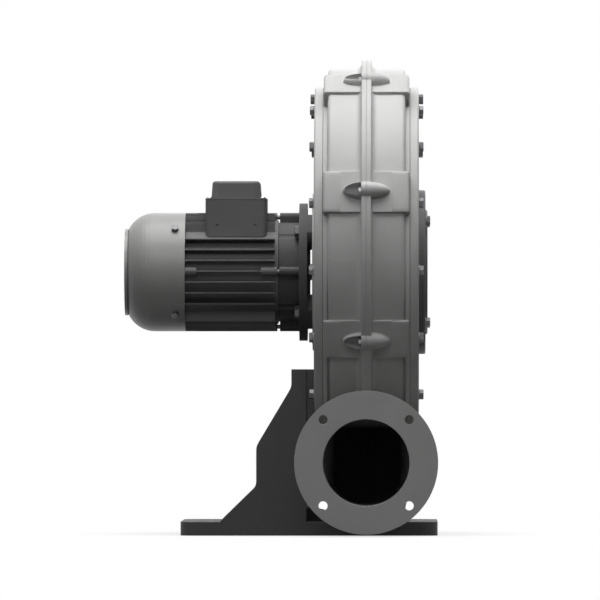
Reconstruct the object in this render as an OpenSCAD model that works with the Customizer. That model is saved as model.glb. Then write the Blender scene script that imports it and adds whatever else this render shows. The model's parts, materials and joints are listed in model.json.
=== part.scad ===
// Centrifugal blower: a cast volute in two halves, a closed impeller and a flange-mounted motor.
// Millimetres. X runs along the shaft, with the motor towards -X and the inlet towards +X.
// The outlet faces -Y, +Z is up, X = 0 is the casing's seam and Z = 0 is the floor.

/* [Casing] */
// Outer radius of the volute straight above the shaft
volute_r = 299; // [292:1:310]
// Growth of the volute radius over a quarter turn
volute_step = 24; // [20:1:28]
// Half of the casing's width
casing_half_w = 63; // [60:1:70]
// Wall of the castings
wall_t = 7; // [5:0.5:8]
// Height of the seam rib above the casing
rib_h = 13; // [11:0.5:16]
// Half of the seam rib's width
rib_half_w = 7.35; // [6:0.05:9]
// Height of the raised bands above the panels between them
band_h = 4; // [3:0.5:6]
// Width of a raised band, in degrees
band_arc = 12.6; // [10:0.2:15]
// Strip that the panels leave free along each side
panel_inset = 6.5; // [5:0.5:8]
// Half of a bolt boss's length
boss_half_l = 34; // [30:1:38]
// Half of a bolt boss's width
boss_half_w = 13; // [12:0.5:15]

/* [Covers] */
// Thickness of a side cover
cover_t = 12.4; // [10:0.2:15]
// Step from the volute's front down to the cover's edge
cover_step = 4; // [2:0.5:6]
// Distance of the cover bolts from the cover's edge
cover_bolt_inset = 17; // [15:0.5:20]
// Land from the cover bolts in to the side opening
cover_land = 16; // [14:0.5:20]
// Number of bolts in each cover
cover_bolts_n = 16; // [12:4:20]
// Thickness of the cover gaskets
gasket_t = 0.6; // [0.4:0.1:1]
// Depth of the cover's register in the side opening
register_t = 4; // [3:0.5:5]

/* [Outlet] */
// Radius of the outlet bore
outlet_r = 62.5; // [55:0.5:64]
// Width of the outlet flange ring
outlet_flange_w = 41; // [39:0.5:43]
// Thickness of the outlet flange
outlet_flange_t = 14; // [12:0.5:18]
// Distance of the flange face from the shaft axis
outlet_reach = 320; // [315:1:350]
// Radius of the flange's bolt circle
outlet_pcd_r = 87.5; // [87:0.5:90]
// Diameter of the flange's holes
outlet_hole_d = 13; // [9:0.5:13]

/* [Inlet] */
// Radius of the inlet bore
inlet_r = 62; // [55:0.5:65]
// Radius of the nozzle's throat in the impeller eye
throat_r = 56; // [50:0.5:58]
// Wall of the inlet nozzle
nozzle_t = 3; // [2.5:0.5:4]
// Radius of the inlet plate
inlet_plate_r = 120.4; // [118:0.2:130]
// Thickness of the inlet plate
inlet_plate_t = 10; // [8:0.5:12]
// Radius of the step on the inlet plate
inlet_step_r = 91.4; // [86:0.2:93]
// Height of the step on the inlet plate
inlet_step_t = 3; // [2:0.5:5]
// Radius of the inlet bolt circle
inlet_pcd_r = 105; // [103:0.5:108]

/* [Impeller] */
// Gap between the impeller's edge and the side opening
impeller_rim_gap = 10; // [8:1:14]
// Gap between the motor side cover and the impeller's back disc
impeller_back_gap = 18; // [15:0.5:20]
// Thickness of the impeller's sheet
sheet_t = 4; // [3:0.5:5]
// Width of the blades at the rim
blade_rim_w = 33; // [30:1:36]
// Extra width of the blades at the eye
blade_eye_w = 20; // [17:1:23]
// Number of blades
blades_n = 12; // [9:1:13]
// Thickness of a blade
blade_t = 3; // [2:0.5:4]
// Angle of the blades to the rim
blade_angle = 50; // [46:1:60]
// Radius of the hub's flange
hub_flange_r = 52; // [48:1:54]
// Radius of the hub's barrel
hub_r = 26; // [23:1:28]

/* [Motor] */
// Radius of the motor flange
motor_flange_r = 101; // [98:1:110]
// Thickness of the motor flange
motor_flange_t = 12; // [10:0.5:14]
// Radius of the motor flange's bolt circle
motor_pcd_r = 82.5; // [81:0.5:84]
// Radius of the motor flange's centring spigot
motor_spigot_r = 65; // [62:0.5:66]
// Length of the centring spigot
motor_spigot_t = 3.5; // [2.5:0.5:4]
// Thickness of the raised pad on the cover
pad_t = 3.6; // [3:0.2:5]
// Radius of the raised pad on the cover
pad_r = 115; // [112:1:120]
// Height of the four standoffs under the motor flange
standoff_t = 7.4; // [6:0.2:9]
// Radius of a standoff
standoff_r = 25; // [22:0.5:26]
// Length of the drive end shield behind its flange
shield_l = 30.6; // [30:0.2:34]
// Step from the frame's tube down to the shields' bodies
shield_step = 3.2; // [1:0.2:4]
// Length of the motor frame
frame_l = 136.4; // [130:0.2:150]
// Radius of the frame's tube
frame_r = 76; // [72:0.5:77]
// Wall of the frame's tube
frame_t = 7; // [6:0.5:8]
// Height of the frame's lugs and fins above its tube
fin_h = 11; // [9:0.5:13]
// Distance between two fins
fin_pitch = 15.8; // [15:0.1:16.2]
// Thickness of a fin
fin_t = 2.6; // [2:0.2:3.4]
// Width of a bolt lug
lug_w = 13.5; // [13:0.5:15]
// Length of a bolt lug on the frame
lug_l = 25; // [20:1:28]
// Length of a bolt lug at the frame's rear end
rear_lug_l = 17; // [12:1:20]
// Gap on each side of the joint between the lugs of the frame and the shield
lug_gap = 1.9; // [0.5:0.1:3]
// Length of the stator core
stator_l = 90; // [80:1:94]
// Radius of the rotor core
rotor_r = 42; // [39:0.5:44]
// Air gap between the rotor and the stator
air_gap = 0.4; // [0.3:0.1:0.6]

/* [Shaft and bearings] */
// Radius of the shaft's end
shaft_r = 12; // [11:0.5:12]
// Length of the shaft beyond the motor flange
shaft_out = 50; // [48:1:54]
// Radius of the shaft in the bearings
journal_r = 12.5; // [12.5:0.5:13]
// Radius of the bearings
bearing_r = 26; // [25.5:0.5:27]
// Width of the bearings
bearing_w = 15; // [13:1:16]
// Radius of a bearing ball
ball_r = 3.97; // [3.5:0.01:4.2]
// Number of balls in a bearing
balls_n = 9; // [8:1:9]
// Running clearance of the balls
ball_gap = 0.05; // [0.02:0.01:0.08]
// Width of the keys
key_w = 8; // [6:1:8]
// Gap between the shaft and its seal
seal_gap = 0.3; // [0.2:0.05:0.5]

/* [Fan and cover] */
// Length of the fan cover
fan_cover_l = 89.2; // [88:0.2:100]
// Wall of the fan cover
fan_cover_t = 2; // [1.5:0.5:2]
// Radius of the fan cover's flat end
fan_cover_end_r = 63.5; // [60:0.5:68]
// Height of that flat end above the shoulder
fan_cover_end_t = 4.5; // [3:0.5:6]
// Radius of the shoulder's curve
fan_cover_bend_r = 43; // [38:1:50]
// Radius of the cooling fan
fan_r = 72; // [60:1:74]
// Length of the cooling fan's blades
fan_blade_l = 22; // [18:1:24]
// Number of the cooling fan's blades
fan_blades_n = 7; // [5:1:9]

/* [Terminal box] */
// Length of the terminal box
box_l = 90; // [84:1:94]
// Width of the terminal box
box_w = 115; // [106:1:118]
// Height of the box base's lower edge above the shaft
box_z0 = 51; // [50.5:0.5:54]
// Height of the box's rim above the shaft
box_z1 = 104.5; // [100:0.5:110]
// Height of the lid
lid_h = 28.5; // [24:0.5:32]
// Setback of the lid's dome from the box's rim
lid_inset = 8.5; // [8:0.5:10]
// Wall of the box and its lid
box_t = 3.5; // [3:0.5:4]

/* [Foot] */
// Thickness of the base plate
base_t = 20; // [16:1:24]
// Reach of the base plate towards the motor
base_back = 271; // [260:1:290]
// Reach of the base plate towards the inlet
base_front = 103.5; // [90:0.5:120]
// Half of the base plate's width
base_half_w = 152; // [152:1:170]
// Gap between the base plate and the casing's lowest rib
belly_gap = 5; // [3:0.5:8]
// Height of the bracket's horns above the floor
bracket_h = 242; // [238:1:246]
// Thickness of the bracket's wall and cheeks
bracket_t = 12; // [10:0.5:14]

/* [Fasteners] */
// Diameter of the casing and cover bolts
casing_bolt_d = 8; // [6:1:8]
// Diameter of the motor and bracket bolts
motor_bolt_d = 10; // [8:1:10]
// Diameter of the seam bolts
seam_bolt_d = 6; // [5:0.5:6]
// Diameter of the small bolts on the motor
small_bolt_d = 6; // [5:0.5:6]
// Play between a bolt and its clearance hole
hole_play = 0.5; // [0.3:0.1:0.6]
// Play between a bolt and its tapped hole
tap_play = 0.05; // [0.02:0.01:0.1]
// Gap between pieces that are assembled without touching
fit_gap = 0.3; // [0.2:0.05:0.4]

/* [Hidden] */

// Roundness of circles, and of the children of a hull
$fn = 96;
HULL_FN = 32;

// Proportions of a hexagon bolt, as multiples of its diameter
HEX_FLATS = 1.6;
HEX_HEIGHT = 0.66;
WASHER_R = 1.0;
WASHER_T = 0.2;

// Colours
PALE = "Gainsboro";
DARK = "DimGray";
CHARCOAL = "#3a3a3c";
STEEL = "Silver";
COPPER = "Peru";

// Volute: four quarter arcs whose centres lie on a small square, from the tongue to the belly
HALF_STEP = volute_step / 2;
ARC_Y = [-HALF_STEP, HALF_STEP, HALF_STEP, -HALF_STEP];
ARC_Z = [HALF_STEP, HALF_STEP, -HALF_STEP, -HALF_STEP];
ARC_R = [for (q = [-1.5, -0.5, 0.5, 1.5]) volute_r + q * volute_step];
ARC_START = [270, 180, 90, 0];
ARC_SWEEP = [63, 90, 90, 90];
BAND_FROM = [25, 69.5];
belly_r = volute_r + 2 * volute_step;
axis_h = base_t + belly_gap + rib_h + belly_r;
shoulder_r = 25;
panel_round_r = 6;
band_inset = 0.5;
rib_fillet_r = 8;
round_steps = 5;
panel_half_w = casing_half_w - panel_inset;
inner_half_w = panel_half_w - wall_t;

// Bosses and seam bolts
boss_rise = 6;
boss_steps = 12;
scoop_rim = 1.8;
scoop_end = 2.5;
scoop_lift = 3.6;
seam_thread_l = 16;

// Threads: how far a tapped hole runs past its bolt, and how far a bolt stays short of a far face
thread_run = 2;
bolt_short = 3;

// Covers
cover_r = volute_r - volute_step - cover_step;
cover_pcd_r = cover_r - cover_bolt_inset;
side_open_r = cover_pcd_r - cover_land;
land_t = casing_half_w - inner_half_w;
cover_in = casing_half_w + gasket_t;
cover_out = cover_in + cover_t;
cover_bolt_l = cover_t + gasket_t + land_t - bolt_short;
cover_edge_r = 2;

// Outlet duct
outlet_drop = belly_r - wall_t - outlet_r;
outlet_z = axis_h - outlet_drop;
outlet_flange_r = outlet_r + outlet_flange_w;
outlet_back = outlet_reach - outlet_flange_t;
duct_r = outlet_r + wall_t;
round_from = 212;
cast_step = 0.4;
slab_t = 0.5;
collar_r = duct_r + 10.5;
collar_t = 9;
collar_screw_r = duct_r + 5.2;
collar_screw_angle = 30;
collar_screw_d = 5;
collar_thread_l = outlet_flange_t - bolt_short - thread_run;
roof_drop = side_open_r - 24;
roof_drop_in = side_open_r - 6;
duct_rib_top = outlet_drop - duct_r - rib_h + 3;

// Motor along X, from the cover towards the fan
pad_x = -cover_out - pad_t;
flange_x = pad_x - standoff_t;
flange_back_x = flange_x - motor_flange_t;
frame_front_x = flange_back_x - shield_l;
frame_back_x = frame_front_x - frame_l;
fan_end_x = frame_back_x - fan_cover_l;
shaft_tip_x = flange_x + shaft_out;
shield_wall_t = 8;
stator_r = frame_r - frame_t;
register_r = stator_r + 1;
shield_r = frame_r - shield_step;
fin_r = frame_r + fin_h;
fan_cover_r = fin_r;
rear_shield_t = 24;
rear_shield_r = fan_cover_r - fan_cover_t - fit_gap;
rear_shield_x = frame_back_x - rear_shield_t;
register_l = 5;
register_lip = 5;
fins_half_n = 3;
fin_end = 5;
fin_round = 4;
fin_root_half = fin_t * 0.8;
fin_tip_half = fin_t / 3;
cable_hole_r = 14;
lug_thread_l = lug_l - 10;
lug_head_t = small_bolt_d * 0.8;
lug_head_d = lug_w - 3;
lug_head_in = lug_head_t + 1;
bolt_room_r = HEX_FLATS * motor_bolt_d * 0.7;
shield_floor_t = 2;
shaft_room = 2;
ear_h = 14;
ear_w = 14;
fan_screw_x = frame_back_x - 14.5;
fan_screw_l = 10;

// Bearings
front_bearing_x = flange_back_x - 4;
rear_bearing_x = frame_back_x - 3;
bearing_ring_t = 4;
ball_pitch_r = (bearing_r + journal_r) / 2;
inner_ring_r = journal_r + bearing_ring_t;
outer_ring_r = bearing_r - bearing_ring_t;
cage_t = 1.6;
cage_w = 10.5;
press_gap = 0.01;
BALL_FN = 48;
housing_r = bearing_r + 6;
wave_t = 1.5;
wave_play = 0.5;
wave_w = 3.5;

// Shaft
core_shaft_r = 15;
tail_r = 10;
shaft_chamfer = 1;
shoulder_in = 3;
fan_hub_x = rear_shield_x - 8;
fan_hub_l = 30;
fan_hub_r = 17;
fan_dish = 3;
fan_disc_t = 3;
fan_root_t = 4;
fan_bend_r = fan_r * 0.7;
fan_blade_t = 2.5;
tail_end_x = fan_hub_x - fan_hub_l - 6;
bend_steps = 8;
grille_rings = 7;
grille_hub_r = 8;
grille_rim = 6;
bar_w = 2.4;
circlip_t = 1.5;
circlip_in = 1;
circlip_gap = 4;
circlip_r = tail_r + 3.5;
stator_mid_x = (frame_front_x + frame_back_x) / 2;
winding_l = 17;
winding_r_in = rotor_r + 6;
winding_r_out = stator_r - 3;
end_ring_l = 9;
end_ring_w = 12;
end_ring_in = 1;
slots_n = 24;
slot_from_r = rotor_r + air_gap + 2;
slot_deep = 13;
slot_w = 4;
winding_round = 4;

// Impeller along X
impeller_r = side_open_r - impeller_rim_gap;
disc_back_x = -cover_in + impeller_back_gap;
disc_front_x = disc_back_x + sheet_t;
rim_x = disc_front_x + blade_rim_w;
eye_x = rim_x + blade_eye_w;
eye_gap = 1.5;
eye_r = throat_r + nozzle_t + eye_gap;
collar_l = 6;
eye_turn = 8;
eye_back = 3;
eye_collar_t = 3;
neck_r = eye_r + 26;
neck_x = rim_x + blade_eye_w * 0.45;
blade_inner_r = eye_r + 6;
blade_steps = 7;
hub_back_x = -cover_in + 5;
hub_flange_t = 5;
hub_over = 2;
hub_front_x = shaft_tip_x + hub_over;
impeller_thread_l = 20;
impeller_bolt_d = 8;
impeller_washer_t = 4;
impeller_washer_r = 18;
key_h = 7;
key_depth = 4;
key_l = 18;
key_x = shaft_tip_x - 3 - key_l;
rivet_n = 8;
rivet_d = 6;
rivet_head_r = rivet_d * 0.8;
rivet_head_h = 2;
rivet_r = (hub_flange_r + hub_r) / 2;

// Inlet nozzle
throat_x = eye_x - 2;
bell_l = 40;
nozzle_steps = 6;
plate_chamfer = 1.5;
inlet_plate_x = cover_out + inlet_plate_t;
inlet_face_x = inlet_plate_x + inlet_step_t;
inlet_open_r = inlet_r + nozzle_t + fit_gap;

// Shaft seal
seal_r = shaft_r + 10;
seal_t = 8;
seal_in = 1;

// Terminal box
box_mid_x = frame_front_x - 16.7 - box_l / 2;
box_round_r = 6;
seat_top = frame_r + 2;
seat_half_l = box_l / 2 - 12;
seat_half_w = 26;
gland_z = 88;
gland_d = 20;
stud_d = 5;
lid_screw_d = 4;
lid_screw_in = 6;
lid_post_r = 5.5;
lid_thread_l = 8;
lid_rim_t = 2.5;
lid_corner = 8.5;
lid_slope = 1.5;
lid_edge_r = 4.5;
lid_wall_t = 6.5;
dimple_r = 1.9;
dimple_t = 1.2;
dimple_x = 28;
dimple_z = 67.8;
board_z = frame_r + 5;
board_l = 60;
board_w = 44;
board_t = 8;
stud_pitch = 18;
stud_row_y = 11;
stud_in = 6;
stud_l = 16;
stud_nut_t = 4;
gland_x = box_l / 5;
gland_in = 4;
gland_hex_d = gland_d * 1.35;
gland_nut_t = 6;
gland_cap_d = gland_d * 1.2;
gland_tip_d = gland_d * 0.9;
gland_cap_l = 16;
plug_nut_t = 4;

// Foot bracket
bracket_x = -cover_out - 11.3;
cheek_half_w = base_half_w;
saddle_r = 190;
bracket_pad_w = 42;
bracket_pad_z = 168;
bracket_pad_in = 2;
horn_l = 22;
horn_z = 216;
waist_l = 73.2;
waist_z = [72.6, 130];
toe_l = 121;
toe_z = 26;
cheek_ease = 6;
bracket_bolt_y = cheek_half_w - 27;
bracket_bolt_z = [188, 224];
gusset_h = 22;
gusset_l = 90;
base_round_r = 22;
base_hole_d = 14;
base_hole_inset = 30;

// Puts children at a point of a circle around the motor axis, n times, from angle a0
module around(n, r, a0 = 0, z = axis_h) {
    translate([0, 0, z])
        for (k = [0 : n - 1])
            rotate([a0 + k * 360 / n, 0, 0])
                translate([0, r, 0])
                    children();
}

// Turns a revolved outline of radius and X place around the motor axis
module turned(steps = $fn) {
    translate([0, 0, axis_h])
        rotate([0, 90, 0])
            rotate_extrude($fn = steps)
                children();
}

// A cylinder from x0 to x1 around the motor axis
module disc_x(r, x0, x1) {
    translate([x0, 0, axis_h])
        rotate([0, 90, 0])
            cylinder(r = r, h = x1 - x0);
}

// A cylinder around the motor axis between two distances from the seam, on side * X
module disc_side(r, side, from, to) {
    disc_x(r, side > 0 ? from : -to, side > 0 ? to : -from);
}

// A cylinder from x0 to x1 on the present origin's X axis
module rod_x(r, x0, x1) {
    translate([x0, 0, 0])
        rotate([0, 90, 0])
            cylinder(r = r, h = x1 - x0);
}

// A ring from x0 to x1 around the motor axis
module ring_x(r_out, r_in, x0, x1) {
    difference() {
        disc_x(r_out, x0, x1);
        disc_x(r_in, x0 - 1, x1 + 1);
    }
}

// Turns children, built along +Z from a seat at the origin, to point along dir * X from x
module facing(x, dir) {
    translate([x, 0, 0])
        rotate([0, 90 * dir, 0])
            children();
}

// A hexagon bolt with its washer: the seat is at the origin and the shank goes down
module hex_bolt(d, grip, washer = true) {
    washer_t = washer ? WASHER_T * d : 0;
    translate([0, 0, -grip])
        cylinder(d = d, h = grip + washer_t);
    if (washer)
        cylinder(r = WASHER_R * d, h = washer_t);
    translate([0, 0, washer_t])
        cylinder(d = HEX_FLATS * d / cos(30), h = HEX_HEIGHT * d, $fn = 6);
}

// A plain round-headed screw
module pan_screw(d, grip, head_d, head_t) {
    translate([0, 0, -grip])
        cylinder(d = d, h = grip);
    cylinder(d = head_d, h = head_t);
}

// A flat rectangle with round corners
module round_rect(l, w, r) {
    square([l - 2 * r, w], center = true);
    square([l, w - 2 * r], center = true);
    for (x = [-1, 1], y = [-1, 1])
        translate([x * (l / 2 - r), y * (w / 2 - r)])
            circle(r = r);
}

// One quarter of the volute, made from an outline of radius and X place
module volute_arc(i, from = 0, sweep = 90) {
    translate([0, ARC_Y[i], axis_h + ARC_Z[i]])
        rotate([0, 90, 0])
            rotate([0, 0, ARC_START[i] + from])
                rotate_extrude(angle = min(sweep, ARC_SWEEP[i] - from))
                    children();
}

// Outline of the casing between the bands: seam rib and panel
module panel_outline(r, side) {
    points = concat(
        [[0, 0], [r + rib_h, 0], [r + rib_h, rib_half_w - 1], [r + rib_h - 1, rib_half_w]],
        [for (k = [0 : round_steps])
            let (a = 90 * k / round_steps)
            [r + rib_fillet_r * (1 - sin(a)), rib_half_w + rib_fillet_r * (1 - cos(a))]],
        [for (k = [0 : round_steps])
            let (a = 90 * k / round_steps)
            [r - panel_round_r * (1 - cos(a)), panel_half_w - panel_round_r * (1 - sin(a))]],
        [[0, panel_half_w]]
    );
    polygon([for (p = points) [p[0], side * p[1]]]);
}

// Outline of the casing on a raised band, with its round shoulder
module band_outline(r, side) {
    w = casing_half_w - band_inset;
    points = concat(
        [[0, 0], [r + band_h, 0]],
        [for (k = [0 : round_steps])
            let (a = 90 * k / round_steps)
            [r + band_h - shoulder_r * (1 - cos(a)), w - shoulder_r * (1 - sin(a))]],
        [[0, w]]
    );
    polygon([for (p = points) [p[0], side * p[1]]]);
}

// Outline of the flow passage
module passage_outline(r) {
    translate([0, -inner_half_w])
        square([r - wall_t, 2 * inner_half_w]);
}

// Where each boss stands: the arc it is on and its angle along that arc
BOSSES = [for (i = [0 : 3], a = BAND_FROM) if (a < ARC_SWEEP[i] - band_arc / 2) [i, a]];

// Puts children at each boss, on its bolt's axis
module at_bosses() {
    for (b = BOSSES)
        translate([0, ARC_Y[b[0]], axis_h + ARC_Z[b[0]]])
            rotate([ARC_START[b[0]] + b[1] - 180, 0, 0])
                translate([0, 0, ARC_R[b[0]] + boss_rise])
                    children();
}

// Half of a long egg-shaped boss, along side * X
module boss(side) {
    points = concat(
        [[0, 0]],
        [for (k = [0 : boss_steps])
            let (a = 90 * k / boss_steps)
            [boss_half_w * cos(a), side * boss_half_l * sin(a)]]
    );
    rotate([0, 90, 0])
        rotate_extrude()
            polygon(points);
}

// The slice of space on one side of the seam
module half_space(side) {
    reach = 2 * belly_r;
    translate([side > 0 ? 0 : -reach, -reach, 0])
        cube([reach, 2 * reach, 2 * reach]);
}

// Loft from the belly's square passage to the round outlet, grown by a wall
module duct_loft(half_w, roof, floor, end_r, side) {
    hull() {
        translate([side > 0 ? 0 : -half_w, -HALF_STEP, axis_h - floor])
            cube([half_w, slab_t, floor - roof]);
        intersection() {
            translate([0, -round_from, outlet_z])
                rotate([90, 0, 0])
                    cylinder(r = end_r, h = slab_t, $fn = 2 * HULL_FN);
            half_space(side);
        }
    }
}

// A straight round piece of the outlet duct, from y0 to y1 in front of the shaft
module duct_round(r, y0, y1) {
    translate([0, -y0, outlet_z])
        rotate([90, 0, 0])
            cylinder(r = r, h = y1 - y0);
}

// Half of the volute casing
module volute_half(side) {
    difference() {
        union() {
            for (i = [0 : 3])
                volute_arc(i)
                    panel_outline(ARC_R[i], side);
            disc_side(cover_r, side, panel_half_w, casing_half_w);
            for (b = BOSSES)
                volute_arc(b[0], b[1] - band_arc / 2, band_arc)
                    band_outline(ARC_R[b[0]], side);
            at_bosses()
                boss(side);
            duct_loft(panel_half_w, roof_drop, belly_r, duct_r - cast_step, side);
            intersection() {
                union() {
                    duct_round(duct_r, round_from - 1, outlet_back);
                    duct_round(collar_r, outlet_back - collar_t, outlet_back);
                    translate([-rib_half_w, -outlet_back, axis_h - belly_r - rib_h])
                        cube([2 * rib_half_w, outlet_back - HALF_STEP, belly_r + rib_h - duct_rib_top]);
                }
                half_space(side);
            }
        }
        for (i = [0 : 3])
            volute_arc(i)
                passage_outline(ARC_R[i]);
        duct_loft(inner_half_w, roof_drop_in, belly_r - wall_t, outlet_r - cast_step, side);
        duct_round(outlet_r, round_from - 1, outlet_back + 1);
        disc_x(side_open_r, -casing_half_w - 1, casing_half_w + 1);
        around(cover_bolts_n, cover_pcd_r)
            rod_x(casing_bolt_d / 2 + tap_play, side > 0 ? inner_half_w - 1 : -casing_half_w - 1,
                side > 0 ? casing_half_w + 1 : 1 - inner_half_w);
        at_bosses()
            seam_bolt_cut(side);
        for (a = [-1, 1])
            collar_screw_place(a * collar_screw_angle + (side > 0 ? 0 : 180))
                cylinder(r = collar_screw_d / 2 + hole_play, h = 4 * collar_t, center = true);
    }
}

// Room for a seam bolt: a clear hole and an open scoop on the motor side, a tapped hole on the other
module seam_bolt_cut(side) {
    if (side < 0) {
        rod_x(seam_bolt_d / 2 + hole_play, -rib_half_w - 1, 1);
        scoop();
    } else {
        rod_x(seam_bolt_d / 2 + tap_play, -1, seam_thread_l + thread_run);
    }
}

// An egg-shaped scoop inside a boss, from the seam rib out to the boss's end
module scoop() {
    l = boss_half_l - scoop_end;
    w = boss_half_w - scoop_rim;
    first = asin(rib_half_w / l);
    points = concat(
        [[0, -rib_half_w]],
        [for (k = [0 : boss_steps])
            let (a = first + (90 - first) * k / boss_steps)
            [w * cos(a), -l * sin(a)]]
    );
    translate([0, 0, scoop_lift])
        rotate([0, 90, 0])
            rotate_extrude()
                polygon(points);
}

// Puts children on the outlet flange's back, on the collar's screw circle at angle a
module collar_screw_place(a) {
    translate([0, -outlet_back, outlet_z])
        rotate([0, a, 0])
            translate([collar_screw_r, 0, 0])
                rotate([-90, 0, 0])
                    children();
}

module volute_motor_half() {
    color(PALE)
        volute_half(-1);
}

module volute_inlet_half() {
    color(PALE)
        volute_half(1);
}

module seam_bolts() {
    color(STEEL)
        at_bosses()
            facing(-rib_half_w, -1)
                hex_bolt(seam_bolt_d, rib_half_w + seam_thread_l, false);
}

module outlet_flange() {
    color(DARK)
        difference() {
            duct_round(outlet_flange_r, outlet_back, outlet_reach);
            duct_round(outlet_r, outlet_back - 1, outlet_reach + 1);
            for (k = [0 : 3])
                translate([0, -outlet_reach, outlet_z])
                    rotate([0, 45 + 90 * k, 0])
                        translate([outlet_pcd_r, 0, 0])
                            rotate([90, 0, 0])
                                cylinder(d = outlet_hole_d, h = 4 * outlet_flange_t, center = true);
            for (a = [-1, 1], half = [0, 180])
                collar_screw_place(a * collar_screw_angle + half)
                    cylinder(r = collar_screw_d / 2 + tap_play, h = 2 * (collar_thread_l + thread_run), center = true);
        }
}

module outlet_flange_screws() {
    color(CHARCOAL)
        for (a = [-1, 1], half = [0, 180])
            collar_screw_place(a * collar_screw_angle + half)
                translate([0, 0, collar_t])
                    hex_bolt(collar_screw_d, collar_t + collar_thread_l, false);
}

// A side cover with its register and bolt holes, on side * X
module side_cover(side) {
    edge = cover_edge_r;
    turned()
        polygon([for (p = [
            [0, cover_in - register_t],
            [side_open_r - fit_gap, cover_in - register_t],
            [side_open_r - fit_gap, cover_in],
            [cover_r, cover_in],
            [cover_r, cover_out - edge],
            [cover_r - edge, cover_out],
            [0, cover_out]
        ]) [p[0], side * p[1]]]);
}

module cover_bolt_holes() {
    around(cover_bolts_n, cover_pcd_r)
        rod_x(casing_bolt_d / 2 + hole_play, -cover_out - pad_t, cover_out + pad_t);
}

module motor_side_cover() {
    color(PALE)
        difference() {
            union() {
                side_cover(-1);
                disc_x(pad_r, pad_x, -cover_out + 1);
            }
            disc_x(seal_r, -cover_out - pad_t - 1, 0);
            cover_bolt_holes();
            around(4, motor_pcd_r, 45)
                rod_x(motor_bolt_d / 2 + tap_play, pad_x - 1, -cover_in - 1);
            for (y = [-1, 1], z = bracket_bolt_z)
                translate([0, y * bracket_bolt_y, z])
                    rod_x(motor_bolt_d / 2 + tap_play, -cover_out - 1, -cover_in - 1);
        }
}

module inlet_side_cover() {
    color(PALE)
        difference() {
            side_cover(1);
            disc_x(inlet_open_r, 0, cover_out + 1);
            cover_bolt_holes();
            around(4, inlet_pcd_r, 45)
                rod_x(casing_bolt_d / 2 + tap_play, 0, cover_out + 1);
        }
}

// A paper gasket between the casing and a cover
module cover_gasket(side) {
    x0 = min(side * casing_half_w, side * cover_in);
    difference() {
        ring_x(cover_r, side_open_r, x0, x0 + gasket_t);
        cover_bolt_holes();
    }
}

module motor_cover_gasket() {
    color(CHARCOAL)
        cover_gasket(-1);
}

module inlet_cover_gasket() {
    color(CHARCOAL)
        cover_gasket(1);
}

module motor_cover_bolts() {
    color(CHARCOAL)
        around(cover_bolts_n, cover_pcd_r)
            facing(-cover_out, -1)
                hex_bolt(casing_bolt_d, cover_bolt_l);
}

module inlet_cover_bolts() {
    color(CHARCOAL)
        around(cover_bolts_n, cover_pcd_r)
            facing(cover_out, 1)
                hex_bolt(casing_bolt_d, cover_bolt_l);
}

// Radius of the nozzle's bore at a place between the bell's start and the throat
function bell_r(t) = throat_r + (inlet_r - throat_r) * (1 - sin(90 * t));

module inlet_nozzle() {
    bell_x = throat_x + bell_l;
    bore = [for (k = [0 : nozzle_steps]) let (t = k / nozzle_steps) [bell_r(t), bell_x - bell_l * t]];
    color(DARK)
        difference() {
            turned()
                polygon(concat(
                    [
                        [inlet_r, inlet_face_x],
                        [inlet_step_r - plate_chamfer, inlet_face_x],
                        [inlet_step_r, inlet_face_x - plate_chamfer],
                        [inlet_step_r, inlet_plate_x],
                        [inlet_plate_r - plate_chamfer, inlet_plate_x],
                        [inlet_plate_r, inlet_plate_x - plate_chamfer],
                        [inlet_plate_r, cover_out],
                        [inlet_r + nozzle_t, cover_out],
                        [inlet_r + nozzle_t, bell_x]
                    ],
                    [for (k = [1 : nozzle_steps]) [bore[k][0] + nozzle_t, bore[k][1]]],
                    [for (k = [nozzle_steps : -1 : 0]) bore[k]]
                ));
            around(4, inlet_pcd_r, 45)
                rod_x(casing_bolt_d / 2 + hole_play, cover_out - 1, inlet_plate_x + 1);
        }
}

module inlet_nozzle_bolts() {
    color(CHARCOAL)
        around(4, inlet_pcd_r, 45)
            facing(inlet_plate_x, 1)
                hex_bolt(casing_bolt_d, inlet_plate_t + cover_t - bolt_short);
}

module shaft_seal() {
    color(CHARCOAL)
        ring_x(seal_r, shaft_r + seal_gap, pad_x + seal_in, pad_x + seal_in + seal_t);
}

// Room for the key, cut into the shaft and the hub
module key_room(play) {
    translate([key_x - play, -key_w / 2 - play, axis_h + shaft_r - key_depth - play])
        cube([key_l + 2 * play, key_w + 2 * play, key_h + 2 * play]);
}

module impeller_hub() {
    color(PALE)
        difference() {
            union() {
                disc_x(hub_r, hub_back_x, hub_front_x);
                disc_x(hub_flange_r, disc_back_x - hub_flange_t, disc_back_x);
            }
            disc_x(shaft_r + tap_play, hub_back_x - 1, hub_front_x + 1);
            translate([hub_back_x - 1, -key_w / 2 - tap_play, axis_h])
                cube([hub_front_x - hub_back_x + 2, key_w + 2 * tap_play, shaft_r - key_depth + key_h + tap_play]);
            around(rivet_n, rivet_r)
                rod_x(rivet_d / 2 + tap_play, disc_back_x - 2 * hub_flange_t, disc_back_x + 1);
        }
}

module impeller_back_disc() {
    color(STEEL)
        difference() {
            ring_x(impeller_r, hub_r + tap_play, disc_back_x, disc_front_x);
            around(rivet_n, rivet_r)
                rod_x(rivet_d / 2 + tap_play, disc_back_x - 1, disc_front_x + 1);
        }
}

// Line of the shroud's inner face, from the rim to the eye
SHROUD = [[impeller_r, rim_x], [neck_r, neck_x], [eye_r + eye_turn, neck_x + eye_turn / 2], [eye_r, eye_x - eye_back]];

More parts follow.
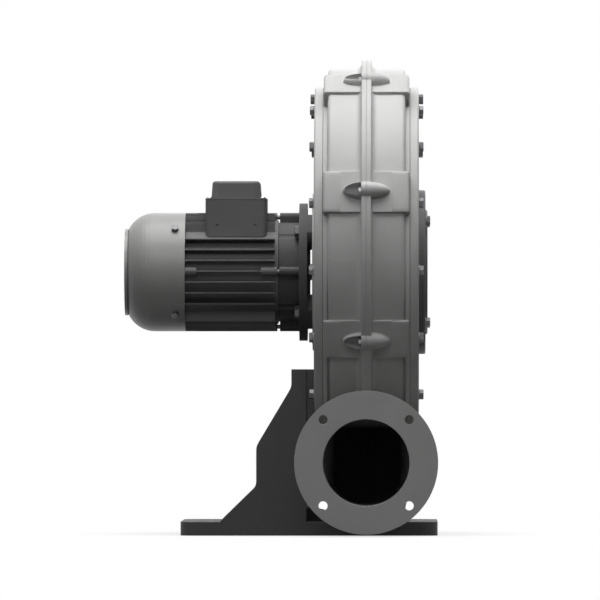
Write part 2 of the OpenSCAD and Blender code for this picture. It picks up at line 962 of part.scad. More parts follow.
module impeller_shroud() {
    collar_x = eye_x + collar_l - eye_back;
    outer = [for (p = SHROUD) [p[0] + (p[0] < neck_r ? sheet_t / 2 : 0), p[1] + sheet_t * 0.75]];
    color(STEEL)
        turned()
            polygon(concat(
                SHROUD,
                [[eye_r, collar_x], [eye_r + eye_collar_t, collar_x]],
                [for (k = [3 : -1 : 0]) outer[k]]
            ));
}

// Angle that a blade has turned through at radius r, on a spiral of constant blade angle
function blade_turn(r) = ln(r / blade_inner_r) / tan(blade_angle) * 180 / PI;

// Outline of one backward-curved blade
module blade_outline() {
    radii = [for (k = [0 : blade_steps]) blade_inner_r + (impeller_r - blade_inner_r) * k / blade_steps];
    lag = blade_t / sin(blade_angle) / 2 * 180 / PI;
    polygon(concat(
        [for (r = radii) let (a = blade_turn(r) - lag / r) [r * cos(a), r * sin(a)]],
        [for (k = [blade_steps : -1 : 0])
            let (r = radii[k], a = blade_turn(r) + lag / r)
            [r * cos(a), r * sin(a)]]
    ));
}

module impeller_blades() {
    color(STEEL)
        intersection() {
            translate([disc_front_x, 0, axis_h])
                for (k = [0 : blades_n - 1])
                    rotate([360 * k / blades_n, 0, 0])
                        rotate([90, 0, 90])
                            linear_extrude(height = eye_x - disc_front_x)
                                blade_outline();
            turned()
                polygon(concat([[0, disc_front_x], [impeller_r, disc_front_x]], SHROUD, [[0, eye_x - eye_back]]));
        }
}

module impeller_rivets() {
    color(STEEL)
        around(rivet_n, rivet_r) {
            rod_x(rivet_d / 2, disc_back_x - hub_flange_t, disc_front_x);
            rod_x(rivet_head_r, disc_back_x - hub_flange_t - rivet_head_h, disc_back_x - hub_flange_t);
            rod_x(rivet_head_r, disc_front_x, disc_front_x + rivet_head_h);
        }
}

module impeller_washer() {
    color(STEEL)
        ring_x(impeller_washer_r, impeller_bolt_d / 2 + hole_play, hub_front_x, hub_front_x + impeller_washer_t);
}

module impeller_bolt() {
    color(CHARCOAL)
        translate([0, 0, axis_h])
            facing(hub_front_x + impeller_washer_t, 1)
                hex_bolt(impeller_bolt_d, impeller_washer_t + hub_over + impeller_thread_l, false);
}

module impeller_key() {
    color(STEEL)
        key_room(0);
}

module shaft() {
    front = front_bearing_x;
    rear = rear_bearing_x - bearing_w;
    color(STEEL)
        difference() {
            turned()
                polygon([
                    [0, shaft_tip_x], [shaft_r - shaft_chamfer, shaft_tip_x], [shaft_r, shaft_tip_x - shaft_chamfer],
                    [shaft_r, flange_x - shoulder_in], [journal_r, flange_x - shoulder_in],
                    [journal_r, front - bearing_w], [core_shaft_r, front - bearing_w],
                    [core_shaft_r, rear + bearing_w], [journal_r, rear + bearing_w],
                    [journal_r, rear - 1], [tail_r, rear - 1],
                    [tail_r, tail_end_x], [0, tail_end_x]
                ]);
            key_room(tap_play);
            disc_x(impeller_bolt_d / 2 + tap_play, shaft_tip_x - impeller_thread_l - thread_run, shaft_tip_x + 1);
            ring_x(tail_r + 1, tail_r - circlip_in, fan_hub_x - fan_hub_l - circlip_t - tap_play, fan_hub_x - fan_hub_l + tap_play);
        }
}

module rotor_core() {
    color(STEEL)
        ring_x(rotor_r, core_shaft_r, stator_mid_x - stator_l / 2, stator_mid_x + stator_l / 2);
}

module rotor_end_rings() {
    color(PALE)
        for (s = [-1, 1])
            translate([s * (stator_l + end_ring_l) / 2 + stator_mid_x, 0, 0])
                ring_x(rotor_r - end_ring_in, rotor_r - end_ring_w, -end_ring_l / 2, end_ring_l / 2);
}

module stator_core() {
    color(DARK)
        difference() {
            ring_x(stator_r, rotor_r + air_gap, stator_mid_x - stator_l / 2, stator_mid_x + stator_l / 2);
            around(slots_n, slot_from_r)
                translate([stator_mid_x - stator_l, 0, -slot_w / 2])
                    cube([2 * stator_l, slot_deep, slot_w]);
        }
}

module stator_windings() {
    color(COPPER) {
        for (s = [-1, 1])
            translate([stator_mid_x + s * stator_l / 2, 0, 0])
                turned()
                    polygon([
                        [winding_r_in, 0], [winding_r_in, s * (winding_l - winding_round)],
                        [winding_r_in + winding_round, s * winding_l],
                        [winding_r_out - winding_round, s * winding_l],
                        [winding_r_out, s * (winding_l - winding_round)], [winding_r_out, 0]
                    ]);
        around(slots_n, slot_from_r + fit_gap)
            translate([stator_mid_x - stator_l / 2 - 1, 0, fit_gap - slot_w / 2])
                cube([stator_l + 2, slot_deep - 2 * fit_gap, slot_w - 2 * fit_gap]);
    }
}

// Four lugs around the motor, from x0 to x1, with round outer edges
module lugs(r, x0, x1, from_r) {
    around(4, r - lug_w / 2) {
        rod_x(lug_w / 2, x0, x1);
        translate([x0, from_r - r + lug_w / 2, -lug_w / 2])
            cube([x1 - x0, r - lug_w / 2 - from_r, lug_w]);
    }
}

// Outline of one fin with its tip at distance tip
module fin_outline(tip) {
    polygon([
        [0, -fin_root_half], [tip - fin_round, -fin_t / 2], [tip, -fin_tip_half],
        [tip, fin_tip_half], [tip - fin_round, fin_t / 2], [0, fin_root_half]
    ]);
}

// Outline of the frame across the shaft: a tube with fins that end on a circle
module frame_outline() {
    circle(r = frame_r);
    for (turn = [0, 90, 180, 270], k = [-fins_half_n : fins_half_n])
        rotate(turn)
            translate([0, k * fin_pitch])
                fin_outline(sqrt(pow(fin_r, 2) - pow(k * fin_pitch, 2)));
}

module motor_frame() {
    color(DARK)
        difference() {
            union() {
                disc_x(frame_r, frame_back_x, frame_front_x);
                translate([frame_back_x, 0, axis_h])
                    rotate([90, 0, 90])
                        linear_extrude(height = frame_l - fin_end)
                            frame_outline();
                lugs(fin_r, frame_front_x - lug_l, frame_front_x - lug_gap, stator_r + 2);
                lugs(fin_r, frame_back_x, frame_back_x + rear_lug_l, stator_r + 2);
                translate([box_mid_x - seat_half_l, -seat_half_w, axis_h])
                    cube([2 * seat_half_l, 2 * seat_half_w, seat_top]);
            }
            disc_x(stator_r, frame_back_x - 1, frame_front_x + 1);
            disc_x(register_r, frame_front_x - register_l, frame_front_x + 1);
            disc_x(register_r, frame_back_x - 1, frame_back_x + register_l);
            translate([box_mid_x - box_l / 2 - fit_gap, -box_w / 2 - fit_gap, axis_h + box_z0 - fit_gap])
                difference() {
                    cube([box_l + 2 * fit_gap, box_w + 2 * fit_gap, fin_r]);
                    translate([0, box_w / 2 + fit_gap, fit_gap - box_z0])
                        rotate([0, 90, 0])
                            cylinder(r = frame_r, h = box_l + 2 * fit_gap);
                    translate([box_l / 2 + fit_gap - seat_half_l, box_w / 2 + fit_gap - seat_half_w, 0])
                        cube([2 * seat_half_l, 2 * seat_half_w, seat_top - box_z0 + fit_gap]);
                }
            translate([box_mid_x, 0, axis_h + stator_r - wall_t])
                cylinder(r = cable_hole_r, h = fin_r - stator_r + wall_t);
            around(4, fin_r - lug_w / 2)
                rod_x(small_bolt_d / 2 + tap_play, frame_front_x - lug_thread_l - thread_run, frame_front_x + 1);
            around(4, rear_shield_r - lug_w / 2)
                rod_x(small_bolt_d / 2 + tap_play, frame_back_x - 1, frame_back_x + rear_lug_l - thread_run);
        }
}

// Bell of an end shield, open towards dir * X, with its bearing seat
module drive_end_shield() {
    seat_end = front_bearing_x - bearing_w;
    color(DARK)
        difference() {
            union() {
                disc_x(motor_flange_r, flange_back_x, flange_x);
                intersection() {
                    disc_x(motor_flange_r, flange_x - 1, pad_x);
                    around(4, motor_pcd_r, 45)
                        rod_x(standoff_r, flange_x - 2, pad_x + 1);
                }
                disc_x(motor_spigot_r, flange_x - 1, flange_x + motor_spigot_t);
                disc_x(shield_r, frame_front_x, flange_back_x + 1);
                lugs(fin_r, frame_front_x + lug_gap, flange_back_x + 1, stator_r);
                disc_x(register_r - tap_play, frame_front_x - register_l + 1, frame_front_x + 1);
            }
            ring_x(register_r - register_lip, housing_r, frame_front_x - register_l, flange_back_x - shield_floor_t);
            disc_x(housing_r + 1, frame_front_x - register_l, frame_front_x + shield_floor_t);
            disc_x(bearing_r + tap_play, frame_front_x - 1, front_bearing_x + tap_play);
            disc_x(journal_r + shaft_room, frame_front_x, flange_x + motor_spigot_t + 1);
            around(4, motor_pcd_r, 45)
                rod_x(motor_bolt_d / 2 + hole_play, flange_back_x - motor_flange_t, pad_x + 1);
            around(4, motor_pcd_r, 45)
                rod_x(bolt_room_r, frame_front_x - 1, flange_back_x);
            around(4, fin_r - lug_w / 2)
                rod_x(small_bolt_d / 2 + hole_play, frame_front_x - 1, flange_x + 1);
            around(4, fin_r - lug_w / 2)
                rod_x(lug_head_d / 2 + hole_play, flange_x - lug_head_in, flange_x + 1);
        }
}

module rear_end_shield() {
    color(DARK)
        difference() {
            union() {
                disc_x(frame_r, frame_back_x - shield_wall_t, frame_back_x);
                disc_x(housing_r, rear_shield_x, frame_back_x);
                lugs(rear_shield_r, frame_back_x - shield_wall_t, frame_back_x, stator_r);
                disc_x(register_r - tap_play, frame_back_x - 1, frame_back_x + register_l - 1);
                around(4, rear_shield_r, 45)
                    translate([frame_back_x - rear_shield_t, -ear_h, -ear_w / 2])
                        cube([rear_shield_t, ear_h - 1, ear_w]);
            }
            disc_x(register_r - register_lip, frame_back_x, frame_back_x + register_l);
            disc_x(bearing_r + tap_play, rear_bearing_x - bearing_w - wave_t, frame_back_x + register_l);
            disc_x(journal_r + shaft_room, rear_shield_x - 1, frame_back_x);
            around(4, rear_shield_r - lug_w / 2)
                rod_x(small_bolt_d / 2 + hole_play, rear_shield_x, frame_back_x + 1);
            around(4, rear_shield_r, 45)
                translate([fan_screw_x, 1, 0])
                    rotate([90, 0, 0])
                        cylinder(r = small_bolt_d / 2 + tap_play, h = fan_screw_l + thread_run);
        }
}

module drive_shield_bolts() {
    color(CHARCOAL)
        around(4, fin_r - lug_w / 2)
            facing(flange_x - lug_head_in, 1)
                pan_screw(small_bolt_d, motor_flange_t - lug_head_in + shield_l + lug_thread_l, lug_head_d, lug_head_t);
}

module rear_shield_bolts() {
    color(CHARCOAL)
        around(4, rear_shield_r - lug_w / 2)
            facing(frame_back_x - shield_wall_t, -1)
                hex_bolt(small_bolt_d, shield_wall_t + rear_lug_l - bolt_short - thread_run, false);
}

// A deep groove bearing whose front face is at x, in four pieces
module bearing_outer_ring(x) {
    difference() {
        ring_x(bearing_r, outer_ring_r, x - bearing_w, x);
        ball_groove(x);
    }
}

module bearing_inner_ring(x) {
    difference() {
        ring_x(inner_ring_r, journal_r + press_gap, x - bearing_w, x);
        ball_groove(x);
    }
}

// The groove that the balls roll in
module ball_groove(x) {
    turned()
        translate([ball_pitch_r, x - bearing_w / 2])
            circle(r = ball_r + ball_gap, $fn = BALL_FN);
}

module bearing_balls(x) {
    translate([x - bearing_w / 2, 0, 0])
        around(balls_n, ball_pitch_r)
            sphere(r = ball_r, $fn = BALL_FN);
}

module bearing_cage(x) {
    mid = x - bearing_w / 2;
    difference() {
        ring_x(ball_pitch_r + cage_t / 2, ball_pitch_r - cage_t / 2, mid - cage_w / 2, mid + cage_w / 2);
        translate([mid, 0, 0])
            around(balls_n, ball_pitch_r)
                rotate([90, 0, 0])
                    cylinder(r = ball_r + ball_gap, h = 2 * ball_r, center = true);
    }
}

module front_bearing_outer_ring() {
    color(STEEL)
        bearing_outer_ring(front_bearing_x);
}

module front_bearing_inner_ring() {
    color(STEEL)
        bearing_inner_ring(front_bearing_x);
}

module front_bearing_balls() {
    color(STEEL)
        bearing_balls(front_bearing_x);
}

module front_bearing_cage() {
    color(COPPER)
        bearing_cage(front_bearing_x);
}

module rear_bearing_outer_ring() {
    color(STEEL)
        bearing_outer_ring(rear_bearing_x);
}

module rear_bearing_inner_ring() {
    color(STEEL)
        bearing_inner_ring(rear_bearing_x);
}

module rear_bearing_balls() {
    color(STEEL)
        bearing_balls(rear_bearing_x);
}

module rear_bearing_cage() {
    color(COPPER)
        bearing_cage(rear_bearing_x);
}

module wave_washer() {
    x = rear_bearing_x - bearing_w;
    color(STEEL)
        ring_x(bearing_r - wave_play, bearing_r - wave_play - wave_w, x - wave_t, x);
}

module cooling_fan() {
    color(CHARCOAL)
        difference() {
            union() {
                disc_x(fan_hub_r, fan_hub_x - fan_hub_l, fan_hub_x);
                turned()
                    polygon([
                        [fan_hub_r - 1, fan_hub_x - 2 * fan_dish], [fan_bend_r, fan_hub_x - fan_dish],
                        [fan_r, fan_hub_x], [fan_r, fan_hub_x - fan_disc_t],
                        [fan_bend_r, fan_hub_x - fan_dish - fan_disc_t],
                        [fan_hub_r - 1, fan_hub_x - 2 * fan_dish - fan_root_t]
                    ]);
                around(fan_blades_n, 0)
                    translate([fan_hub_x - fan_blade_l - fan_root_t, fan_hub_r - 1, -fan_blade_t / 2])
                        cube([fan_blade_l, fan_r - fan_hub_r - fan_disc_t, fan_blade_t]);
            }
            disc_x(tail_r + tap_play, fan_hub_x - fan_hub_l - 1, fan_hub_x + 1);
        }
}

module fan_circlip() {
    x = fan_hub_x - fan_hub_l;
    color(STEEL)
        difference() {
            ring_x(circlip_r, tail_r - circlip_in + tap_play, x - circlip_t, x);
            translate([x - 2 * circlip_t, -circlip_gap / 2, axis_h])
                cube([4 * circlip_t, circlip_gap, circlip_r + 1]);
        }
}

// Sweep of the shoulder, which ends just inside the flat end's rim
fan_cover_sweep = acos(1 - (fan_cover_r - fan_cover_end_r + fan_cover_t) / fan_cover_bend_r);

// Radius and X place along the fan cover's rounded shoulder, for a shell set in by t
function cover_bend(t) = [for (k = [0 : bend_steps])
    let (a = fan_cover_sweep * k / bend_steps)
    [fan_cover_r - t - (fan_cover_bend_r - t) * (1 - cos(a)),
        fan_end_x + fan_cover_end_t + fan_cover_bend_r * sin(fan_cover_sweep) - (fan_cover_bend_r - t) * sin(a)]];

module fan_cover() {
    pitch = (fan_cover_end_r - grille_rim - grille_hub_r) / grille_rings;
    color(PALE)
        difference() {
            turned()
                polygon(concat(
                    [[fan_cover_r, frame_back_x]],
                    cover_bend(0),
                    [
                        [fan_cover_end_r, fan_end_x + fan_cover_end_t], [fan_cover_end_r, fan_end_x],
                        [0, fan_end_x], [0, fan_end_x + fan_cover_t],
                        [fan_cover_end_r - 2 * fan_cover_t, fan_end_x + fan_cover_t],
                        [fan_cover_end_r - 2 * fan_cover_t, cover_bend(fan_cover_t)[bend_steps][1]]
                    ],
                    [for (k = [bend_steps : -1 : 0]) cover_bend(fan_cover_t)[k]],
                    [[fan_cover_r - fan_cover_t, frame_back_x]]
                ));
            difference() {
                union() {
                    for (k = [0 : grille_rings - 1])
                        ring_x(grille_hub_r + (k + 1) * pitch, grille_hub_r + k * pitch + bar_w,
                            fan_end_x - 1, fan_end_x + fan_cover_t + 1);
                }
                for (k = [0 : 3])
                    translate([fan_end_x - fan_cover_t, 0, axis_h])
                        rotate([45 * k, 0, 0])
                            translate([0, -fan_cover_end_r, -bar_w / 2])
                                cube([3 * fan_cover_t, 2 * fan_cover_end_r, bar_w]);
            }
            around(4, fan_cover_r, 45)
                translate([fan_screw_x, fan_cover_t, 0])
                    rotate([90, 0, 0])
                        cylinder(r = small_bolt_d / 2 + hole_play, h = 4 * fan_cover_t);
        }
}

module fan_cover_screws() {
    color(CHARCOAL)
        around(4, fan_cover_r, 45)
            translate([fan_screw_x, 0, 0])
                rotate([-90, 0, 0])
                    hex_bolt(small_bolt_d, fan_screw_l);
}

module motor_flange_bolts() {
    color(CHARCOAL)
        around(4, motor_pcd_r, 45)
            facing(flange_back_x, -1)
                hex_bolt(motor_bolt_d, motor_flange_t + standoff_t + pad_t + cover_t - bolt_short, false);
}

// A block with round corners on the motor's top, between two heights above the shaft
module box_block(l, w, z0, z1, r) {
    translate([box_mid_x, 0, axis_h + z0])
        linear_extrude(height = z1 - z0)
            round_rect(l, w, r);
}

module terminal_box_base() {
    color(DARK)
        difference() {
            box_block(box_l, box_w, box_z0, box_z1, box_round_r);
            difference() {
                box_block(box_l - 2 * box_t, box_w - 2 * box_t, board_z, box_z1 + 1, box_round_r / 2);
                lid_screw_places()
                    cylinder(r = lid_post_r, h = 4 * board_z, center = true);
            }
            disc_x(frame_r, box_mid_x - box_l, box_mid_x + box_l);
            for (s = [-1, 1])
                translate([box_mid_x + s * dimple_x, -box_w / 2, axis_h + dimple_z])
                    rotate([90, 0, 0])
                        cylinder(r = dimple_r, h = 2 * dimple_t, center = true);
            translate([box_mid_x - seat_half_l - fit_gap, -seat_half_w - fit_gap, axis_h])
                cube([2 * (seat_half_l + fit_gap), 2 * (seat_half_w + fit_gap), seat_top]);
            translate([box_mid_x, 0, axis_h])
                cylinder(r = cable_hole_r, h = box_z1);
            lid_screw_places()
                cylinder(r = lid_screw_d / 2 + tap_play, h = 2 * (lid_thread_l + thread_run), center = true);
            for (x = [-1, 1])
                gland_place(x)
                    cylinder(r = gland_d / 2 + tap_play, h = 2 * (box_t + gland_in + thread_run), center = true);
        }
}

// Puts children at the four lid screws, on the box's rim
module lid_screw_places() {
    for (x = [-1, 1], y = [-1, 1])
        translate([
            box_mid_x + x * (box_l / 2 - lid_screw_in),
            y * (box_w / 2 - lid_screw_in),
            axis_h + box_z1
        ])
            children();
}

module terminal_box_gasket() {
    color(CHARCOAL)
        difference() {
            box_block(box_l - 2, box_w - 2, box_z1, box_z1 + gasket_t, box_round_r - 1);
            difference() {
                box_block(box_l - 2 * box_t, box_w - 2 * box_t, box_z1 - 1, box_z1 + 1, box_round_r / 2);
                lid_screw_places()
                    cylinder(r = lid_post_r, h = 4, center = true);
            }
            lid_screw_places()
                cylinder(r = lid_screw_d / 2 + hole_play, h = 4, center = true);
        }
}

// Corners of a rectangle whose corners are cut off by c
function cut_corners(l, w, c) = [
    for (s = [[1, 1], [-1, 1], [-1, -1], [1, -1]], k = [0, 1])
        let (along = s[0] * s[1] > 0 ? k : 1 - k)
        [s[0] * (l / 2 - c * along), s[1] * (w / 2 - c * (1 - along))]
];

module terminal_box_lid() {
    l = box_l - 2 * lid_inset;
    w = box_w - 2 * lid_inset;
    z0 = box_z1 + gasket_t;
    top_in = 2 * (lid_slope + lid_edge_r);
    color(DARK)
        difference() {
            union() {
                box_block(box_l, box_w, z0, z0 + lid_rim_t, box_round_r);
                hull() {
                    translate([box_mid_x, 0, axis_h + z0])
                        linear_extrude(height = lid_rim_t)
                            polygon(cut_corners(l, w, lid_corner));
                    for (p = cut_corners(l - top_in, w - top_in, lid_corner - lid_slope))
                        translate([box_mid_x + p[0], p[1], axis_h + box_z1 + lid_h - lid_edge_r])
                            sphere(r = lid_edge_r, $fn = HULL_FN);
                }
            }
            box_block(l - 2 * lid_wall_t, w - 2 * lid_wall_t, z0 - 1, z0 + lid_h - lid_wall_t, lid_corner / 2);
            lid_screw_places()
                cylinder(r = lid_screw_d / 2 + hole_play, h = 3 * lid_h, center = true);
        }
}

module terminal_lid_screws() {
    color(STEEL)
        lid_screw_places()
            translate([0, 0, gasket_t + lid_rim_t])
                pan_screw(lid_screw_d, gasket_t + lid_rim_t + lid_thread_l, 2 * lid_screw_d, lid_screw_d / 2);
}

module terminal_board() {
    color(CHARCOAL)
        difference() {
            box_block(board_l, board_w, board_z, board_z + board_t, box_round_r / 2);
            stud_places()
                cylinder(r = stud_d / 2 + tap_play, h = 3 * board_t, center = true);
        }
}

// Puts children at the six terminal studs, on the board's top
module stud_places() {
    for (x = [-1 : 1], y = [-1, 1])
        translate([box_mid_x + x * stud_pitch, y * stud_row_y, axis_h + board_z + board_t])
            children();
}

module terminal_studs() {
    color(COPPER)
        stud_places() {
            translate([0, 0, -stud_in])
                cylinder(d = stud_d, h = stud_l);
            cylinder(d = 2 * stud_d, h = stud_nut_t, $fn = 6);
        }
}

// Puts children on the box's rear wall, pointing outwards, on the left or right opening
module gland_place(x) {
    translate([box_mid_x + x * gland_x, box_w / 2, axis_h + gland_z])
        rotate([-90, 0, 0])
            children();
}

module cable_gland() {
    color(CHARCOAL)
        gland_place(-1)
            difference() {
                union() {
                    translate([0, 0, -box_t - gland_in])
                        cylinder(d = gland_d, h = box_t + gland_in + 1);
                    cylinder(d = gland_hex_d, h = gland_nut_t, $fn = 6);
                    translate([0, 0, gland_nut_t - 1])
                        cylinder(d1 = gland_cap_d, d2 = gland_tip_d, h = gland_cap_l);
                }
                translate([0, 0, -box_t - gland_in - 1])
                    cylinder(d = gland_d / 2, h = box_t + gland_in + gland_nut_t + gland_cap_l + 2);
            }
}

module blanking_plug() {
    color(CHARCOAL)
        gland_place(1) {
            translate([0, 0, -box_t - gland_in])
                cylinder(d = gland_d, h = box_t + gland_in + 1);
            cylinder(d = gland_hex_d, h = plug_nut_t, $fn = 6);
        }
}

// A path with each inner corner eased over a length, along a curve of a few points
function eased(path, over) = concat(
    [path[0]],
    [for (i = [1 : len(path) - 2], t = [0, 0.25, 0.5, 0.75, 1])
        let (c = path[i], a = path[i - 1] - c, b = path[i + 1] - c)
        c + a / norm(a) * over * pow(1 - t, 2) + b / norm(b) * over * pow(t, 2)],
    [path[len(path) - 1]]
);

// Side outline of the bracket's cheek, from its wall back to the toe on the base plate
CHEEK = [for (p = concat(
    [[0, base_t - 1], [0, bracket_h]],
    eased([[horn_l, bracket_h], [horn_l, horn_z], [waist_l, waist_z[1]], [waist_l, waist_z[0]],
        [toe_l, toe_z], [toe_l + toe_z - base_t, base_t - 1]], cheek_ease)
)) [bracket_x - p[0], p[1]]];

module foot_bracket() {
    base_l = base_back + base_front;
    mid = (base_front - base_back) / 2;
    color(CHARCOAL)
        difference() {
            union() {
                translate([mid, 0, 0])
                    linear_extrude(height = base_t)
                        round_rect(base_l, 2 * base_half_w, base_round_r);
                for (y = [-cheek_half_w, cheek_half_w - bracket_t])
                    translate([0, y + bracket_t, 0])
                        rotate([90, 0, 0])
                            linear_extrude(height = bracket_t)
                                polygon(CHEEK);
                translate([bracket_x - bracket_t, -cheek_half_w, base_t - 1])
                    cube([bracket_t, 2 * cheek_half_w, bracket_h - base_t + 1]);
                for (s = [-1, 1])
                    translate([bracket_x - 1, s * (cheek_half_w - bracket_pad_in - bracket_pad_w / 2), bracket_pad_z])
                        translate([0, -bracket_pad_w / 2, 0])
                            cube([-cover_out - bracket_x + 1, bracket_pad_w, bracket_h - bracket_pad_z]);
                for (s = [-1, 1])
                    translate([bracket_x - 1, s * (cheek_half_w / 2) + bracket_t / 2, base_t - 1])
                        rotate([90, 0, 0])
                            linear_extrude(height = bracket_t)
                                polygon([[0, 0], [gusset_l, 0], [0, gusset_h]]);
            }
            disc_x(saddle_r, -base_back, bracket_x + 1);
            for (s = [-1, 1], z = bracket_bolt_z)
                translate([0, s * bracket_bolt_y, z])
                    rod_x(motor_bolt_d / 2 + hole_play, bracket_x - 2 * bracket_t, -cover_out + 1);
            base_hole_places()
                cylinder(d = base_hole_d, h = 3 * base_t, center = true);
        }
}

// Puts children at the four holes of the base plate, on the floor
module base_hole_places() {
    for (x = [-base_back + base_hole_inset, base_front - base_hole_inset], y = [-1, 1])
        translate([x, y * (base_half_w - base_hole_inset), 0])
            children();
}

module foot_bracket_bolts() {
    color(CHARCOAL)
        for (s = [-1, 1], z = bracket_bolt_z)
            translate([0, s * bracket_bolt_y, z])
                facing(bracket_x - bracket_t, -1)
                    hex_bolt(motor_bolt_d, bracket_t - bracket_x - cover_out + cover_t - bolt_short);
}

volute_motor_half();
volute_inlet_half();
seam_bolts();
outlet_flange();
outlet_flange_screws();
motor_side_cover();
inlet_side_cover();
motor_cover_gasket();
inlet_cover_gasket();
motor_cover_bolts();
inlet_cover_bolts();
inlet_nozzle();
inlet_nozzle_bolts();
shaft_seal();
impeller_hub();
impeller_back_disc();
impeller_blades();
impeller_shroud();
impeller_rivets();
impeller_bolt();
impeller_washer();
impeller_key();
shaft();
rotor_core();
rotor_end_rings();
stator_core();
stator_windings();
motor_frame();
drive_end_shield();
rear_end_shield();
drive_shield_bolts();
rear_shield_bolts();
front_bearing_outer_ring();
front_bearing_inner_ring();
front_bearing_balls();
front_bearing_cage();
rear_bearing_outer_ring();
rear_bearing_inner_ring();
rear_bearing_balls();
rear_bearing_cage();
wave_washer();
cooling_fan();
fan_circlip();
fan_cover();
fan_cover_screws();
motor_flange_bolts();
terminal_box_base();
terminal_box_gasket();
terminal_box_lid();
terminal_lid_screws();
terminal_board();
terminal_studs();
cable_gland();
blanking_plug();
foot_bracket();
foot_bracket_bolts();
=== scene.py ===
# %% [markdown]
# A centrifugal blower, dressed for its portrait.
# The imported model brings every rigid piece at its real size. This lesson loads it, sets the
# camera, gives each casting and machined face its finish, and models the small things that a solid
# leaves out.

# %% Load the fixed frame
import json
import math

import bpy
from mathutils import Matrix, Vector


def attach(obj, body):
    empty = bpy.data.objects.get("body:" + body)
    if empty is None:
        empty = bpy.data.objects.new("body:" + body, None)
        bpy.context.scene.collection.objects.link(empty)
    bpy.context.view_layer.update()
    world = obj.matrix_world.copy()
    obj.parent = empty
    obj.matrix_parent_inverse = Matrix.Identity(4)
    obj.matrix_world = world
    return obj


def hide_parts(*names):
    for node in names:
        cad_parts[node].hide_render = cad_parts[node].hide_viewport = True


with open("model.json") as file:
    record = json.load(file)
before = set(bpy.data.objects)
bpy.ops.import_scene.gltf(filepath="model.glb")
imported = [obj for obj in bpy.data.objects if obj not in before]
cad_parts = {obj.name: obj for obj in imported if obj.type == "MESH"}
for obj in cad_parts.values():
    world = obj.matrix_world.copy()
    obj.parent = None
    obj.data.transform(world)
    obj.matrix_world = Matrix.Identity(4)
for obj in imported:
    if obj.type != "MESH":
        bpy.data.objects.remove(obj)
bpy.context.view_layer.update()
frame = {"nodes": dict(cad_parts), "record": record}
nodes = frame["nodes"]

# %% [markdown]
# The photograph is a front view taken from far away with a long lens, a little below the shaft.
# A perspective camera 14 m away gives the same slight spread, and the lens follows from the scale
# of the picture at the shaft: 1.47 mm of blower for each of its 600 pixels.

# %% Camera
IMAGE_PIXELS = 600
MM_PER_PIXEL = 1.47
SHAFT_HEIGHT = 0.385
SEAM_PIXEL_X = 366.9
SHAFT_PIXEL_Y = 272.1
CAMERA_DISTANCE = 14.0
CAMERA_X = 0.049
CAMERA_Z = 0.226
SENSOR_MM = 36.0


def aim_point():
    """The point on the shaft's plane that lands in the middle of the picture."""
    middle = IMAGE_PIXELS / 2
    x = (middle - SEAM_PIXEL_X) * MM_PER_PIXEL / 1000
    z = SHAFT_HEIGHT - (middle - SHAFT_PIXEL_Y) * MM_PER_PIXEL / 1000
    return Vector((x, 0, z))


def add_camera():
    data = bpy.data.cameras.new("camera")
    data.sensor_width = SENSOR_MM
    data.lens = SENSOR_MM * CAMERA_DISTANCE * 1000 / (IMAGE_PIXELS * MM_PER_PIXEL)
    data.clip_end = 100
    camera = bpy.data.objects.new("camera", data)
    bpy.context.scene.collection.objects.link(camera)
    camera.location = (CAMERA_X, -CAMERA_DISTANCE, CAMERA_Z)
    look = aim_point() - camera.location
    camera.rotation_euler = look.to_track_quat("-Z", "Y").to_euler()
    bpy.context.scene.camera = camera
    return camera


camera = add_camera()
print("camera aims at", [round(v, 3) for v in aim_point()])

# %% [markdown]
# The floor is pale. To the camera it is white, with the object's shadow kept close round its foot,
# and to the light that bounces round the object it is dark, so that the undersides stay as dark as
# they are in the photograph. One wide soft lamp hangs overhead and does nearly all the work: a
# surface that looks up is bright, one that faces the camera gets a fifth of that, and the gloss of
# the paint mirrors the lamp where the casing leans back by half a right angle. A weak lamp in front
# hangs high as well, because a low one would light the faces that lean down.

# %% Floor and light
FLOOR_BOUNCE = 0.03
BACKDROP = 1.0
SHADOW_SHARE = 0.3
SHADOW_REACH = (0.2, 0.4)
FOOT_CENTRE_X = -0.084
FLOOR_SIZE = 60
FLOOR_PALE = 0.95
AMBIENT = 0.015
# Each lamp: its name, where it hangs, where it points, its width and depth, and its watts
LAMPS = (
    ("overhead", (-0.1, -0.3, 3.2), (-0.1, 0, 0.3), (3.4, 2.6), 124),
    ("front_fill", (-0.5, -3.4, 2.5), (-0.1, 0, 0.35), (2.2, 1.0), 19),
    ("back_fill", (0.8, 3.6, 1.6), (-0.1, 0, 0.35), (2.5, 1.6), 12),
)


def seen_rays(tree):
    """A mask of the rays that show the background: from the camera, mirrored, or through glass."""
    path = tree.nodes.new("ShaderNodeLightPath")
    mask = path.outputs["Is Camera Ray"]
    for label in ("Is Glossy Ray", "Is Transmission Ray"):
        larger = tree.nodes.new("ShaderNodeMath")
        larger.operation = "MAXIMUM"
        tree.links.new(mask, larger.inputs[0])
        tree.links.new(path.outputs[label], larger.inputs[1])
        mask = larger.outputs[0]
    return mask


def near_foot(tree):
    """The share of shadow: whole round the foot, and gone further out on the floor."""
    place = tree.nodes.new("ShaderNodeTexCoord")
    centre = tree.nodes.new("ShaderNodeVectorMath")
    length = tree.nodes.new("ShaderNodeVectorMath")
    fade = tree.nodes.new("ShaderNodeMapRange")
    centre.inputs[1].default_value = (-FOOT_CENTRE_X, 0, 0)
    length.operation = "LENGTH"
    fade.interpolation_type = "SMOOTHSTEP"
    span = (*SHADOW_REACH, SHADOW_SHARE, 0.0)
    for label, number in zip(("From Min", "From Max", "To Min", "To Max"), span):
        fade.inputs[label].default_value = number
    tree.links.new(place.outputs["Object"], centre.inputs[0])
    tree.links.new(centre.outputs[0], length.inputs[0])
    tree.links.new(length.outputs["Value"], fade.inputs["Value"])
    return fade.outputs["Result"]


